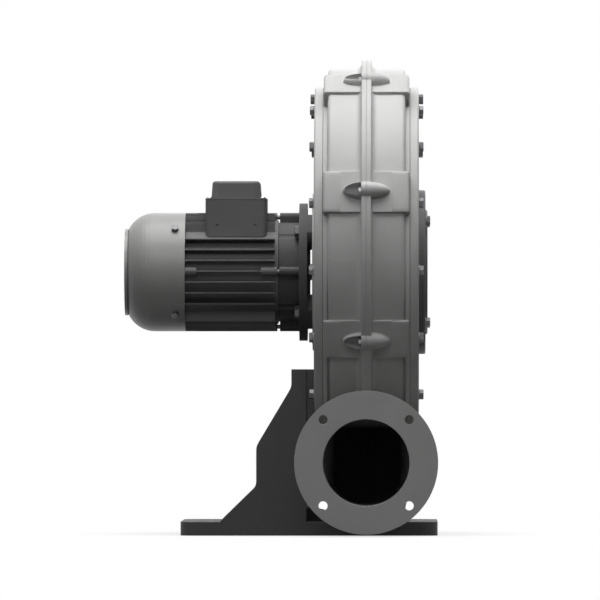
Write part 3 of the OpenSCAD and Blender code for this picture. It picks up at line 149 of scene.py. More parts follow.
def camera_white_material(name, bounce):
    """White where the camera sees it, with the near shadow kept, and grey for bounced light."""
    material = bpy.data.materials.new(name)
    material.use_nodes = True
    tree = material.node_tree
    tree.nodes.clear()
    out = tree.nodes.new("ShaderNodeOutputMaterial")
    seen = tree.nodes.new("ShaderNodeMixShader")
    white = tree.nodes.new("ShaderNodeMixShader")
    glow = tree.nodes.new("ShaderNodeEmission")
    pale = tree.nodes.new("ShaderNodeBsdfDiffuse")
    dull = tree.nodes.new("ShaderNodeBsdfDiffuse")
    glow.inputs["Strength"].default_value = 1.0
    pale.inputs["Color"].default_value = (FLOOR_PALE, FLOOR_PALE, FLOOR_PALE, 1)
    dull.inputs["Color"].default_value = (bounce, bounce, bounce, 1)
    link = tree.links.new
    link(near_foot(tree), white.inputs[0])
    link(glow.outputs[0], white.inputs[1])
    link(pale.outputs[0], white.inputs[2])
    link(seen_rays(tree), seen.inputs[0])
    link(dull.outputs[0], seen.inputs[1])
    link(white.outputs[0], seen.inputs[2])
    link(seen.outputs[0], out.inputs["Surface"])
    return material


def deselect():
    bpy.ops.object.select_all(action="DESELECT")


def add_floor():
    deselect()
    bpy.ops.mesh.primitive_plane_add(size=FLOOR_SIZE, location=(0, 0, 0))
    floor = bpy.context.object
    floor.name = "floor"
    floor.data.materials.append(camera_white_material("floor_white", FLOOR_BOUNCE))
    return floor


def area_light(name, place, aim, size, watts):
    data = bpy.data.lights.new(name, "AREA")
    data.shape = "RECTANGLE"
    data.size, data.size_y = size
    data.energy = watts
    lamp = bpy.data.objects.new(name, data)
    bpy.context.scene.collection.objects.link(lamp)
    lamp.location = place
    look = Vector(aim) - Vector(place)
    lamp.rotation_euler = look.to_track_quat("-Z", "Y").to_euler()
    return lamp


def set_world(strength, seen):
    """A dim world for the object, and a white one behind it for the camera and reflections."""
    world = bpy.data.worlds.new("studio")
    world.use_nodes = True
    tree = world.node_tree
    tree.nodes.clear()
    out = tree.nodes.new("ShaderNodeOutputWorld")
    mix = tree.nodes.new("ShaderNodeMixShader")
    ambient = tree.nodes.new("ShaderNodeBackground")
    white = tree.nodes.new("ShaderNodeBackground")
    ambient.inputs["Strength"].default_value = strength
    white.inputs["Color"].default_value = (seen, seen, seen, 1)
    tree.links.new(seen_rays(tree), mix.inputs[0])
    tree.links.new(ambient.outputs[0], mix.inputs[1])
    tree.links.new(white.outputs[0], mix.inputs[2])
    tree.links.new(mix.outputs[0], out.inputs["Surface"])
    bpy.context.scene.world = world


add_floor()
for lamp in LAMPS:
    area_light(*lamp)
set_world(AMBIENT, BACKDROP)
bpy.context.scene.view_settings.view_transform = "Standard"
print("a floor and", len(LAMPS), "lamps")

# %% [markdown]
# Paint on a casting is never one even colour. Three effects come back on nearly every piece, so
# each is a node group: the grain of the casting under the paint, the dust that settles on faces
# that look up, and the paler metal where an edge has been rubbed. Each group only hands out
# masks and heights, and every material decides for itself how much of them it uses.

# %% Node group helpers


def new_group(name, inputs, outputs):
    """A shader node group with named float inputs and outputs, and its two end nodes."""
    group = bpy.data.node_groups.new(name, "ShaderNodeTree")
    kind = "NodeSocketFloat"
    for label, value in inputs:
        socket = group.interface.new_socket(name=label, in_out="INPUT", socket_type=kind)
        socket.default_value = value
    for label in outputs:
        group.interface.new_socket(name=label, in_out="OUTPUT", socket_type=kind)
    start = group.nodes.new("NodeGroupInput")
    end = group.nodes.new("NodeGroupOutput")
    return group, start, end


def add_node(tree, kind, **values):
    """A node of one kind, with some of its properties or input defaults set."""
    node = tree.nodes.new(kind)
    for label, value in values.items():
        if label.startswith("in_"):
            node.inputs[int(label[3:])].default_value = value
        else:
            setattr(node, label, value)
    return node


def math_node(tree, operation, first, second=None, clamp=False):
    """A Math node fed by sockets or plain numbers, which hands back its output socket."""
    node = tree.nodes.new("ShaderNodeMath")
    node.operation = operation
    node.use_clamp = clamp
    for index, value in enumerate((first, second)):
        if value is None:
            continue
        if isinstance(value, (int, float)):
            node.inputs[index].default_value = value
        else:
            tree.links.new(value, node.inputs[index])
    return node.outputs[0]


def stretch(tree, value, low, high, to_low=0.0, to_high=1.0):
    """Maps a value from one span to another and stops at the ends."""
    node = tree.nodes.new("ShaderNodeMapRange")
    tree.links.new(value, node.inputs["Value"])
    span = (low, high, to_low, to_high)
    for label, number in zip(("From Min", "From Max", "To Min", "To Max"), span):
        node.inputs[label].default_value = number
    return node.outputs["Result"]


def noise(tree, vector, scale, detail=3.0, roughness=0.5):
    """A noise pattern on a vector socket. scale may be a number or a socket."""
    node = tree.nodes.new("ShaderNodeTexNoise")
    node.inputs["Detail"].default_value = detail
    node.inputs["Roughness"].default_value = roughness
    tree.links.new(vector, node.inputs["Vector"])
    if isinstance(scale, (int, float)):
        node.inputs["Scale"].default_value = scale
    else:
        tree.links.new(scale, node.inputs["Scale"])
    return node.outputs["Fac"]


# %% [markdown]
# A casting keeps the grain of its sand under the paint, dust lies only on what looks up, paint is
# thin on edges, and a lathe leaves rings. Image files could show all four, but noise and geometry
# need no unwrapping and have no seams on these castings, so they are worked out at every point.

# %% Surface effects


def build_cast_grain():
    """Height and tone of a painted casting: fine sand grain over broad, soft waves."""
    settings = [("Fine Scale", 900.0), ("Broad Scale", 22.0), ("Fine Share", 0.5)]
    group, start, end = new_group("cast_grain", settings, ["Height", "Tone"])
    place = add_node(group, "ShaderNodeTexCoord").outputs["Object"]
    fine = noise(group, place, start.outputs["Fine Scale"], 2.0, 0.6)
    broad = noise(group, place, start.outputs["Broad Scale"], 3.0, 0.45)
    part = math_node(group, "MULTIPLY", fine, start.outputs["Fine Share"])
    height = math_node(group, "ADD", part, broad)
    tone = math_node(group, "MULTIPLY", math_node(group, "ADD", fine, broad), 0.5)
    group.links.new(height, end.inputs["Height"])
    group.links.new(tone, end.inputs["Tone"])
    return group


def build_settled_dust():
    """A mask of dust: strongest on faces that look up, and broken up by noise."""
    settings = [("Amount", 0.4), ("Patch Scale", 14.0)]
    group, start, end = new_group("settled_dust", settings, ["Mask"])
    geometry = add_node(group, "ShaderNodeNewGeometry")
    place = add_node(group, "ShaderNodeTexCoord").outputs["Object"]
    split = add_node(group, "ShaderNodeSeparateXYZ")
    group.links.new(geometry.outputs["Normal"], split.inputs[0])
    upward = stretch(group, split.outputs["Z"], 0.35, 1.0)
    cloud = noise(group, place, start.outputs["Patch Scale"], 6.0, 0.65)
    patches = stretch(group, cloud, 0.35, 0.75)
    lying = math_node(group, "MULTIPLY", upward, patches)
    mask = math_node(group, "MULTIPLY", lying, start.outputs["Amount"])
    group.links.new(mask, end.inputs["Mask"])
    return group


def build_rubbed_edges():
    """A mask of edges where paint has thinned, broken up so that it never looks drawn."""
    settings = [("Width", 0.0012), ("Amount", 0.6), ("Break Scale", 90.0)]
    group, start, end = new_group("rubbed_edges", settings, ["Mask"])
    bevel = add_node(group, "ShaderNodeBevel", samples=4)
    group.links.new(start.outputs["Width"], bevel.inputs["Radius"])
    geometry = add_node(group, "ShaderNodeNewGeometry")
    compare = add_node(group, "ShaderNodeVectorMath", operation="DOT_PRODUCT")
    group.links.new(bevel.outputs["Normal"], compare.inputs[0])
    group.links.new(geometry.outputs["Normal"], compare.inputs[1])
    edge = stretch(group, compare.outputs["Value"], 0.99, 0.82)
    place = add_node(group, "ShaderNodeTexCoord").outputs["Object"]
    cloud = noise(group, place, start.outputs["Break Scale"], 5.0, 0.7)
    gaps = stretch(group, cloud, 0.42, 0.68)
    broken = math_node(group, "MULTIPLY", edge, gaps)
    mask = math_node(group, "MULTIPLY", broken, start.outputs["Amount"])
    group.links.new(mask, end.inputs["Mask"])
    return group


def build_turned_rings():
    """Fine rings that a lathe leaves, round a line along X or Y through a centre."""
    settings = [
        ("Centre X", 0.0), ("Centre Y", 0.0), ("Centre Z", SHAFT_HEIGHT),
        ("Along Y", 0.0), ("Rings Per Metre", 2600.0),
    ]
    group, start, end = new_group("turned_rings", settings, ["Height", "Tone"])
    place = add_node(group, "ShaderNodeTexCoord").outputs["Object"]
    split = add_node(group, "ShaderNodeSeparateXYZ")
    group.links.new(place, split.inputs[0])
    off_x = math_node(group, "SUBTRACT", split.outputs["X"], start.outputs["Centre X"])
    off_y = math_node(group, "SUBTRACT", split.outputs["Y"], start.outputs["Centre Y"])
    off_z = math_node(group, "SUBTRACT", split.outputs["Z"], start.outputs["Centre Z"])
    along_y = start.outputs["Along Y"]
    side_y = math_node(group, "MULTIPLY", off_x, along_y)
    side_x = math_node(group, "MULTIPLY", off_y, math_node(group, "SUBTRACT", 1.0, along_y))
    side = math_node(group, "ADD", side_x, side_y)
    side_square = math_node(group, "POWER", side, 2.0)
    up_square = math_node(group, "POWER", off_z, 2.0)
    radius = math_node(group, "SQRT", math_node(group, "ADD", side_square, up_square))
    turns = math_node(group, "MULTIPLY", radius, start.outputs["Rings Per Metre"])
    joined = add_node(group, "ShaderNodeCombineXYZ")
    group.links.new(turns, joined.inputs[0])
    rings = noise(group, joined.outputs[0], 1.0, 3.0, 0.6)
    group.links.new(rings, end.inputs["Height"])
    group.links.new(stretch(group, rings, 0.3, 0.7), end.inputs["Tone"])
    return group


CAST_GRAIN = build_cast_grain()
SETTLED_DUST = build_settled_dust()
RUBBED_EDGES = build_rubbed_edges()
TURNED_RINGS = build_turned_rings()
print("node groups:", [g.name for g in bpy.data.node_groups])

# %% [markdown]
# A material starts as a Principled shader. Its colour is mixed from up to three layers: the paint
# with its slow change of tone, the metal that shows at rubbed edges, and the dust on top. The dust
# mask also raises the roughness, because dust is rougher, and the edge mask makes the rubbed edges
# partly metallic.

# %% Material helpers
DUST_COLOUR = (0.50, 0.48, 0.45, 1)
BARE_METAL = (0.62, 0.62, 0.63, 1)


def use_group(tree, group, **values):
    node = tree.nodes.new("ShaderNodeGroup")
    node.node_tree = group
    for label, value in values.items():
        node.inputs[label.replace("_", " ")].default_value = value
    return node


def mix_colour(tree, mask, first, second):
    """Mixes two colours, each a socket or four numbers, by a mask socket."""
    node = tree.nodes.new("ShaderNodeMix")
    node.data_type = "RGBA"
    tree.links.new(mask, node.inputs["Factor"])
    for label, value in (("A", first), ("B", second)):
        socket = next(s for s in node.inputs if s.name == label and s.type == "RGBA")
        if isinstance(value, tuple):
            socket.default_value = value
        else:
            tree.links.new(value, socket)
    return next(s for s in node.outputs if s.type == "RGBA")


def shade(colour, factor):
    return tuple(min(1.0, c * factor) for c in colour) + (1,)


def start_material(name):
    material = bpy.data.materials.new(name)
    material.use_nodes = True
    return material, material.node_tree, material.node_tree.nodes["Principled BSDF"]


def bump_from(tree, height, distance, soft_edge=0.0):
    """Turns a height into a normal. soft_edge, in metres, rounds the look of each sharp edge."""
    bump = tree.nodes.new("ShaderNodeBump")
    if soft_edge:
        bevel = add_node(tree, "ShaderNodeBevel", samples=6)
        bevel.inputs["Radius"].default_value = soft_edge
        tree.links.new(bevel.outputs["Normal"], bump.inputs["Normal"])
    bump.inputs["Distance"].default_value = distance
    bump.inputs["Strength"].default_value = 1.0
    tree.links.new(height, bump.inputs["Height"])
    return bump.outputs["Normal"]


def painted(
    name, colour, roughness, grain, wear, dust, metal=BARE_METAL, gloss=0.3, soft_edge=0.001
):
    """Paint on metal. grain is (fine scale, broad scale, fine share, height in metres)."""
    fine, broad, share, grain_height = grain
    material, tree, shader = start_material(name)
    link = tree.links.new
    cast = use_group(tree, CAST_GRAIN, Fine_Scale=fine, Broad_Scale=broad, Fine_Share=share)
    edges = use_group(tree, RUBBED_EDGES, Amount=wear)
    settled = use_group(tree, SETTLED_DUST, Amount=dust)
    tone = stretch(tree, cast.outputs["Tone"], 0.35, 0.65)
    paint = mix_colour(tree, tone, shade(colour, 0.93), shade(colour, 1.06))
    rubbed = mix_colour(tree, edges.outputs["Mask"], paint, metal)
    dusted = mix_colour(tree, settled.outputs["Mask"], rubbed, DUST_COLOUR)
    link(dusted, shader.inputs["Base Color"])
    link(math_node(tree, "MULTIPLY", edges.outputs["Mask"], 0.7), shader.inputs["Metallic"])
    rough = stretch(tree, cast.outputs["Tone"], 0.3, 0.7, roughness - 0.05, roughness + 0.07)
    dusty = math_node(tree, "MULTIPLY", settled.outputs["Mask"], 0.35)
    link(math_node(tree, "ADD", rough, dusty, clamp=True), shader.inputs["Roughness"])
    normal = bump_from(tree, cast.outputs["Height"], grain_height, soft_edge)
    link(normal, shader.inputs["Normal"])
    shader.inputs["Specular IOR Level"].default_value = gloss
    return material


def metal(name, colour, roughness, rings=0.0):
    """Bare or blackened metal, with lathe rings where rings is over 0, their height in metres."""
    material, tree, shader = start_material(name)
    link = tree.links.new
    cast = use_group(tree, CAST_GRAIN, Fine_Scale=1600.0, Broad_Scale=60.0, Fine_Share=0.4)
    settled = use_group(tree, SETTLED_DUST, Amount=0.1, Patch_Scale=30.0)
    tone = cast.outputs["Tone"]
    height = cast.outputs["Height"]
    depth = 0.00002
    if rings:
        lathe = use_group(tree, TURNED_RINGS)
        tone = lathe.outputs["Tone"]
        height = lathe.outputs["Height"]
        depth = rings
    base = mix_colour(tree, stretch(tree, tone, 0.3, 0.7), shade(colour, 0.88), shade(colour, 1.1))
    dusted = mix_colour(tree, settled.outputs["Mask"], base, DUST_COLOUR)
    rough = stretch(tree, tone, 0.2, 0.8, roughness - 0.06, roughness + 0.08)
    link(dusted, shader.inputs["Base Color"])
    link(rough, shader.inputs["Roughness"])
    link(bump_from(tree, height, depth), shader.inputs["Normal"])
    shader.inputs["Metallic"].default_value = 1.0
    return material


def moulded(name, colour, roughness, height=0.00003):
    """Moulded plastic or rubber, with a fine spark texture and a little dust."""
    material, tree, shader = start_material(name)
    cast = use_group(tree, CAST_GRAIN, Fine_Scale=1300.0, Broad_Scale=50.0, Fine_Share=0.8)
    settled = use_group(tree, SETTLED_DUST, Amount=0.5)
    link = tree.links.new
    tone = stretch(tree, cast.outputs["Tone"], 0.3, 0.7)
    base = mix_colour(tree, tone, shade(colour, 0.85), shade(colour, 1.2))
    dusted = mix_colour(tree, settled.outputs["Mask"], base, DUST_COLOUR)
    rough = stretch(tree, cast.outputs["Tone"], 0.3, 0.7, roughness - 0.06, roughness + 0.06)
    link(dusted, shader.inputs["Base Color"])
    link(rough, shader.inputs["Roughness"])
    link(bump_from(tree, cast.outputs["Height"], height), shader.inputs["Normal"])
    return material


# %% [markdown]
# The casing, its covers and the motor are painted in greys that differ a little, as parts from
# different makers do when they meet on one machine. The drive end shield is painted nearly black,
# darker than the motor: that is a painted shade for the shadow round the motor's flange. The bolts
# are blackened steel, apart from the plated ones in the seam. Only the bare shafts and screw heads
# keep the fine rings of a lathe.

# %% Materials
SAND_CAST = (700.0, 16.0, 0.22, 0.00016)
DIE_CAST = (1100.0, 24.0, 0.2, 0.00008)
SMOOTH_SHEET = (1500.0, 10.0, 0.1, 0.00006)
ROUGH_CAST = (420.0, 14.0, 0.45, 0.00035)
DARK_METAL = (0.35, 0.35, 0.36, 1)

CASING_PAINT = painted(
    "casing_paint", (0.52, 0.52, 0.515), 0.40, SAND_CAST, wear=0.3, dust=0.12, soft_edge=0.0025)
COVER_PAINT = painted("cover_paint", (0.48, 0.48, 0.475), 0.40, DIE_CAST, wear=0.3, dust=0.12)
FLANGE_PAINT = painted(
    "flange_paint", (0.42, 0.42, 0.418), 0.45, DIE_CAST, wear=0.35, dust=0.12, gloss=0.5)
BRACKET_PAINT = painted(
    "bracket_paint", (0.085, 0.085, 0.088), 0.55, ROUGH_CAST, wear=0.3, dust=0.2,
    metal=(0.25, 0.25, 0.25, 1), gloss=0.25, soft_edge=0.0025)
MOTOR_PAINT = painted(
    "motor_paint", (0.15, 0.15, 0.152), 0.45, DIE_CAST, wear=0.25, dust=0.15,
    metal=DARK_METAL, gloss=0.25, soft_edge=0.0008)
# The shield's near-black paint is a painted shade, standing in for the shadow round the motor's
# flange.
SHIELD_PAINTED_SHADE = painted(
    "shield_painted_shade", (0.095, 0.095, 0.097), 0.5, DIE_CAST, wear=0.25, dust=0.12,
    metal=(0.3, 0.3, 0.31, 1), gloss=0.15, soft_edge=0.0008)
FAN_COVER_PAINT = painted(
    "fan_cover_paint", (0.34, 0.34, 0.335), 0.36, SMOOTH_SHEET, wear=0.15, dust=0.1, gloss=0.35)
BLACK_BOLT = metal("blackened_bolt", (0.11, 0.11, 0.115), 0.42)
ZINC = metal("zinc_plated_steel", (0.36, 0.36, 0.37), 0.5)
BRIGHT_STEEL = metal("turned_steel", (0.55, 0.55, 0.56), 0.28, rings=0.00001)
SHEET_STEEL = metal("rolled_sheet", (0.46, 0.47, 0.48), 0.4)
CAST_ALUMINIUM = metal("cast_aluminium", (0.60, 0.60, 0.62), 0.48)
CORE_STEEL = metal("core_plate", (0.28, 0.29, 0.31), 0.5)
COPPER = metal("varnished_copper", (0.50, 0.23, 0.10), 0.35)
BRASS = metal("brass", (0.70, 0.50, 0.22), 0.3)
BLACK_PLASTIC = moulded("black_plastic", (0.035, 0.035, 0.037), 0.5)
GASKET = moulded("gasket_sheet", (0.06, 0.058, 0.055), 0.8, 0.00008)

SLOT_MATERIAL = {
    "casing": CASING_PAINT, "covers": COVER_PAINT, "flanges": FLANGE_PAINT,
    "bracket": BRACKET_PAINT, "motor_paint": MOTOR_PAINT, "fan_cover_paint": FAN_COVER_PAINT,
    "bolts": BLACK_BOLT, "bright_steel": BRIGHT_STEEL, "sheet_steel": SHEET_STEEL,
    "cast_aluminium": CAST_ALUMINIUM,
    "core_plate": CORE_STEEL, "copper": COPPER, "studs": BRASS, "cage_brass": BRASS,
    "black_plastic": BLACK_PLASTIC, "gasket": GASKET,
}


def finish_node(node, material):
    """Gives one CAD node a material on every slot."""
    mesh = nodes[node].data
    mesh.materials.clear()
    mesh.materials.append(material)


for entry in frame["record"]["subparts"]:
    finish_node(entry["node"], SLOT_MATERIAL[entry["material_slot"]])
finish_node("inlet_nozzle", MOTOR_PAINT)
# The drive end shield takes the near-black paint, a painted shade for the shadow round the motor's
# flange.
finish_node("drive_end_shield", SHIELD_PAINTED_SHADE)
print("finished", len(nodes), "CAD nodes")

# %% [markdown]
# Every small piece below is modelled once, standing on the origin, and then copied to its places.
# These helpers select in code, apply a modifier, put a place into the mesh, and turn faces
# outwards. The copies of one set are joined, because they are bought and painted as one set.

# %% Placing helpers
MM = 0.001
SHAFT_LINE = Matrix.Translation((0, 0, SHAFT_HEIGHT))


def select_only(*pieces):
    deselect()
    for piece in pieces:
        piece.select_set(True)
    bpy.context.view_layer.objects.active = pieces[0]


def apply_modifier(piece, modifier):
    select_only(piece)
    bpy.ops.object.modifier_apply(modifier=modifier.name)


def settle(piece):
    """Puts a piece's place into its mesh, so that its object sits at the origin."""
    select_only(piece)
    bpy.ops.object.transform_apply(location=True, rotation=True, scale=True)


def face_outwards(piece):
    select_only(piece)
    bpy.ops.object.mode_set(mode="EDIT")
    bpy.ops.mesh.select_all(action="SELECT")
    bpy.ops.mesh.remove_doubles(threshold=1e-6)
    bpy.ops.mesh.normals_make_consistent(inside=False)
    bpy.ops.object.mode_set(mode="OBJECT")


def join(pieces):
    select_only(*pieces)
    bpy.ops.object.join()
    return bpy.context.object


def copies_at(model, places):
    """Copies a model to each matrix and joins the copies, and removes the model itself."""
    made = []
    for place in places:
        copy = model.copy()
        copy.data = model.data.copy()
        bpy.context.scene.collection.objects.link(copy)
        copy.matrix_world = place @ model.matrix_world
        made.append(copy)
    for copy in made:
        settle(copy)
    joined = join(made) if len(made) > 1 else made[0]
    bpy.data.objects.remove(model)
    return joined


def hand_over(piece, name, material, body, replaces=(), smooth=35):
    """Names a finished piece, paints it and puts it on its body."""
    piece.name = name
    piece.data.name = name
    piece.data.materials.clear()
    piece.data.materials.append(material)
    select_only(piece)
    bpy.ops.object.shade_smooth_by_angle(angle=math.radians(smooth))
    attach(piece, body)
    if replaces:
        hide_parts(*replaces)
    print(name, len(piece.data.polygons), "faces")
    return piece


def facing(x, direction):
    """From a model that stands on z = 0 to one that points along X from x."""
    return Matrix.Translation((x, 0, 0)) @ Matrix.Rotation(math.radians(90 * direction), 4, "Y")


def around_shaft(count, radius, start, place):
    """Places on a circle round the shaft, the first at start degrees from +Y."""
    out = Matrix.Translation((0, radius, 0))
    turns = [math.radians(start + 360 * k / count) for k in range(count)]
    return [SHAFT_LINE @ Matrix.Rotation(turn, 4, "X") @ out @ place for turn in turns]


# %% [markdown]
# The solids hold each bolt as a plain prism. On a real head a cone turns the corners off, and a
# split ring sits between the head and the flat washer. A boolean modifier cuts one head out of a
# hexagonal cylinder and a cone, and spin turns the split ring. A bevel on the prism would be
# quicker, but it takes the edges off evenly, where the cone leaves the six curved corners.

# %% Bolt models
HEAD_FLATS = 1.6
HEAD_HEIGHT = 0.66
CHAMFER_DEGREES = 30
CHAMFER_CIRCLE = 0.95
WASHER_SEAT = 0.2
WASHER_SHARE = 0.45
SPLIT_INNER = 0.54
SPLIT_OUTER = 0.84
SPLIT_TURN = 346


def turned_hexagon(flats, height):
    """A hexagon that stands on z = 0, with its top corners turned off at thirty degrees."""
    corner = flats / 2 / math.cos(math.radians(30))
    rise = math.tan(math.radians(CHAMFER_DEGREES))
    top = flats / 2 * CHAMFER_CIRCLE
    deselect()
    bpy.ops.mesh.primitive_cylinder_add(
        vertices=6, radius=corner, depth=height, location=(0, 0, height / 2))
    head = bpy.context.object
    settle(head)
    deselect()
    wide = top + 2 * height / rise
    bpy.ops.mesh.primitive_cone_add(
        vertices=48, radius1=wide, radius2=top, depth=2 * height, location=(0, 0, 0))
    cone = bpy.context.object
    settle(cone)
    cut = head.modifiers.new("turned corners", "BOOLEAN")
    cut.operation = "INTERSECT"
    cut.solver = "EXACT"
    cut.object = cone
    apply_modifier(head, cut)
    bpy.data.objects.remove(cone)
    return head


def flat_washer(outer, thickness, low):
    """A disc with the edge of its upper face rounded off."""
    middle = (0, 0, low + thickness / 2)
    deselect()
    bpy.ops.mesh.primitive_cylinder_add(
        vertices=40, radius=outer, depth=thickness, location=middle)
    washer = bpy.context.object
    settle(washer)
    bpy.ops.object.mode_set(mode="EDIT")
    bpy.ops.mesh.select_all(action="DESELECT")
    bpy.ops.object.mode_set(mode="OBJECT")
    for vertex in washer.data.vertices:
        vertex.select = vertex.co.z > low + thickness / 2
    bpy.ops.object.mode_set(mode="EDIT")
    bpy.ops.mesh.bevel(offset=thickness * 0.3, segments=2)
    bpy.ops.object.mode_set(mode="OBJECT")
    return washer


def split_ring(inner, outer, thickness, low):
    """A spring washer: a square section spun nearly a full turn, its cut ends a little apart."""
    middle = ((inner + outer) / 2, 0, low + thickness / 2)
    deselect()
    bpy.ops.mesh.primitive_plane_add(size=1, location=middle, rotation=(math.pi / 2, 0, 0))
    ring = bpy.context.object
    ring.scale = (outer - inner, thickness, 1)
    settle(ring)
    bpy.ops.object.mode_set(mode="EDIT")
    bpy.ops.mesh.select_all(action="SELECT")
    bpy.ops.mesh.spin(
        steps=32, angle=math.radians(SPLIT_TURN), center=(0, 0, 0), axis=(0, 0, 1))
    bpy.ops.mesh.select_all(action="SELECT")
    bpy.ops.mesh.fill_holes(sides=4)
    bpy.ops.object.mode_set(mode="OBJECT")
    face_outwards(ring)
    return ring


def shank(radius, grip):
    deselect()
    bpy.ops.mesh.primitive_cylinder_add(
        vertices=16, radius=radius, depth=grip, location=(0, 0, -grip / 2))
    settle(bpy.context.object)
    return bpy.context.object


def hexagon_bolt(diameter, grip, washer=True):
    """A bolt whose head and washers stand on z = 0 and whose shank goes down."""
    seat = WASHER_SEAT * diameter if washer else 0.0
    flat = seat * WASHER_SHARE
    pieces = [shank(diameter / 2, grip)]
    if washer:
        pieces.append(flat_washer(diameter, flat, 0.0))
        pieces.append(split_ring(diameter * SPLIT_INNER, diameter * SPLIT_OUTER, seat - flat, flat))
    head = turned_hexagon(HEAD_FLATS * diameter, HEAD_HEIGHT * diameter)
    head.location = (0, 0, seat)
    settle(head)
    pieces.append(head)
    return join(pieces)


# %% [markdown]
# Each side cover is drawn on by sixteen bolts with a flat and a split washer. They stand on one
# circle, so their places follow from its radius and their number.

# %% Cover bolts
COVER_FACE = 76 * MM
COVER_BOLT_CIRCLE = 254 * MM
for side, name in ((-1, "motor_cover_bolts"), (1, "inlet_cover_bolts")):
    places = around_shaft(16, COVER_BOLT_CIRCLE, 0, facing(side * COVER_FACE, side))
    bolts = copies_at(hexagon_bolt(8 * MM, 20 * MM), places)
    hand_over(bolts, name + "_detailed", BLACK_BOLT, "housing", (name,))

# %% [markdown]
# The inlet plate and the motor's flange have four bolts each, at the corners of a square. The
# bracket is held by two above each other at either side. The flange's bolts have no washer,
# because they seat on its machined back.

# %% Inlet plate bolts
INLET_PLATE_FACE = 86 * MM
INLET_BOLT_CIRCLE = 105 * MM
places = around_shaft(4, INLET_BOLT_CIRCLE, 45, facing(INLET_PLATE_FACE, 1))
bolts = copies_at(hexagon_bolt(8 * MM, 19 * MM), places)
hand_over(
    bolts, "inlet_nozzle_bolts_detailed", BLACK_BOLT, "housing", ("inlet_nozzle_bolts",))

# %% Motor flange bolts
MOTOR_FLANGE_BACK = -99 * MM
MOTOR_BOLT_CIRCLE = 82.5 * MM
places = around_shaft(4, MOTOR_BOLT_CIRCLE, 45, facing(MOTOR_FLANGE_BACK, -1))
bolts = copies_at(hexagon_bolt(10 * MM, 32 * MM, washer=False), places)
hand_over(
    bolts, "motor_flange_bolts_detailed", BLACK_BOLT, "housing", ("motor_flange_bolts",))

# %% Bracket bolts
BRACKET_BACK = -99.3 * MM
BRACKET_BOLT_Y = 125 * MM
BRACKET_BOLT_HEIGHTS = (188 * MM, 224 * MM)
places = [
    Matrix.Translation((0, side * BRACKET_BOLT_Y, z)) @ facing(BRACKET_BACK, -1)
    for side in (-1, 1) for z in BRACKET_BOLT_HEIGHTS
]
bolts = copies_at(hexagon_bolt(10 * MM, 32 * MM), places)
hand_over(
    bolts, "foot_bracket_bolts_detailed", BLACK_BOLT, "housing", ("foot_bracket_bolts",))

# %% [markdown]
# The two castings of the volute are drawn together by seam bolts that stand in the scooped pockets.
# Each sits on one of the four arcs of the outline, so its place follows from the arc's centre, its
# radius and the angle of its band. The first arc ends at the duct and has room for one band only.
# These bolts are plated, and the photograph shows them as light spots in the dark of the pockets.

# %% Seam bolts
HALF_STEP = 12
ARC_CENTRES = (
    (-HALF_STEP, HALF_STEP), (HALF_STEP, HALF_STEP),
    (HALF_STEP, -HALF_STEP), (-HALF_STEP, -HALF_STEP),
)
ARC_RADII = (263, 287, 311, 335)
ARC_STARTS = (270, 180, 90, 0)
BAND_ANGLES = (25, 69.5)
BOSS_RISE = 6
RIB_HALF = 7.35 * MM


def on_arc(arc, angle, place):
    """A place on one arc of the volute's outline, on the axis of the seam bolt at that angle."""
    y, z = ARC_CENTRES[arc]
    turn = Matrix.Rotation(math.radians(ARC_STARTS[arc] + angle - 180), 4, "X")
    up = Matrix.Translation((0, 0, (ARC_RADII[arc] + BOSS_RISE) * MM))
    return Matrix.Translation((0, y * MM, SHAFT_HEIGHT + z * MM)) @ turn @ up @ place


NO_BAND = (0, BAND_ANGLES[1])
seams = [(arc, angle) for arc in range(4) for angle in BAND_ANGLES if (arc, angle) != NO_BAND]
places = [on_arc(arc, angle, facing(-RIB_HALF, -1)) for arc, angle in seams]
bolts = copies_at(hexagon_bolt(6 * MM, 23 * MM, washer=False), places)
hand_over(bolts, "seam_bolts_detailed", ZINC, "housing", ("seam_bolts",))

# %% [markdown]
# On the real casing each raised band keeps its full height nearly to the cover's face, and its side
# then drops off square with a small round. The solid rounds it off far more softly. The missing
# corner is a section of casting drawn as a flat outline, spun about the centre of its arc, and
# bevelled at both ends. It reaches under the solid's skin, so the two read as one casting.

# %% Band shoulders
BAND_FACE = 4
BAND_ARC = 12.6
END_ROUND = 1.2 * MM
# The corner's section: across the casing from the seam, and up from the band's face
SHOULDER_SECTION = (
    (36, -6), (36, 0.1), (58, 0.1), (60.3, -0.6), (61.8, -2.1), (62.5, -4.4),
    (62.5, -25.2), (54, -25.2),
)


def band_shoulder(arc, angle, side):
    """One corner of a band: its section stands on the arc and is spun through the band's length."""
    y, z = ARC_CENTRES[arc]
    centre = Vector((0, y * MM, SHAFT_HEIGHT + z * MM))
    face = ARC_RADII[arc] + BAND_FACE
    deselect()
    bpy.ops.mesh.primitive_circle_add(
        vertices=len(SHOULDER_SECTION), radius=1, fill_type="NGON")
    piece = bpy.context.object
    settle(piece)
    start = math.radians(ARC_STARTS[arc] + angle - 180 - BAND_ARC / 2)
    for vertex, (across, up) in zip(piece.data.vertices, SHOULDER_SECTION):
        radius = (face + up) * MM
        spot = (side * across * MM, -radius * math.sin(start), radius * math.cos(start))
        vertex.co = centre + Vector(spot)
    bpy.ops.object.mode_set(mode="EDIT")
    bpy.ops.mesh.select_all(action="SELECT")
    bpy.ops.mesh.spin(steps=10, angle=math.radians(-BAND_ARC), center=centre, axis=(1, 0, 0))
    bpy.ops.mesh.select_all(action="SELECT")
    bpy.ops.mesh.fill_holes(sides=len(SHOULDER_SECTION))
    bpy.ops.object.mode_set(mode="OBJECT")
    face_outwards(piece)
    ends = piece.modifiers.new("soft ends", "BEVEL")
    ends.width = END_ROUND
    ends.segments = 2
    ends.angle_limit = math.radians(60)
    apply_modifier(piece, ends)
    return piece


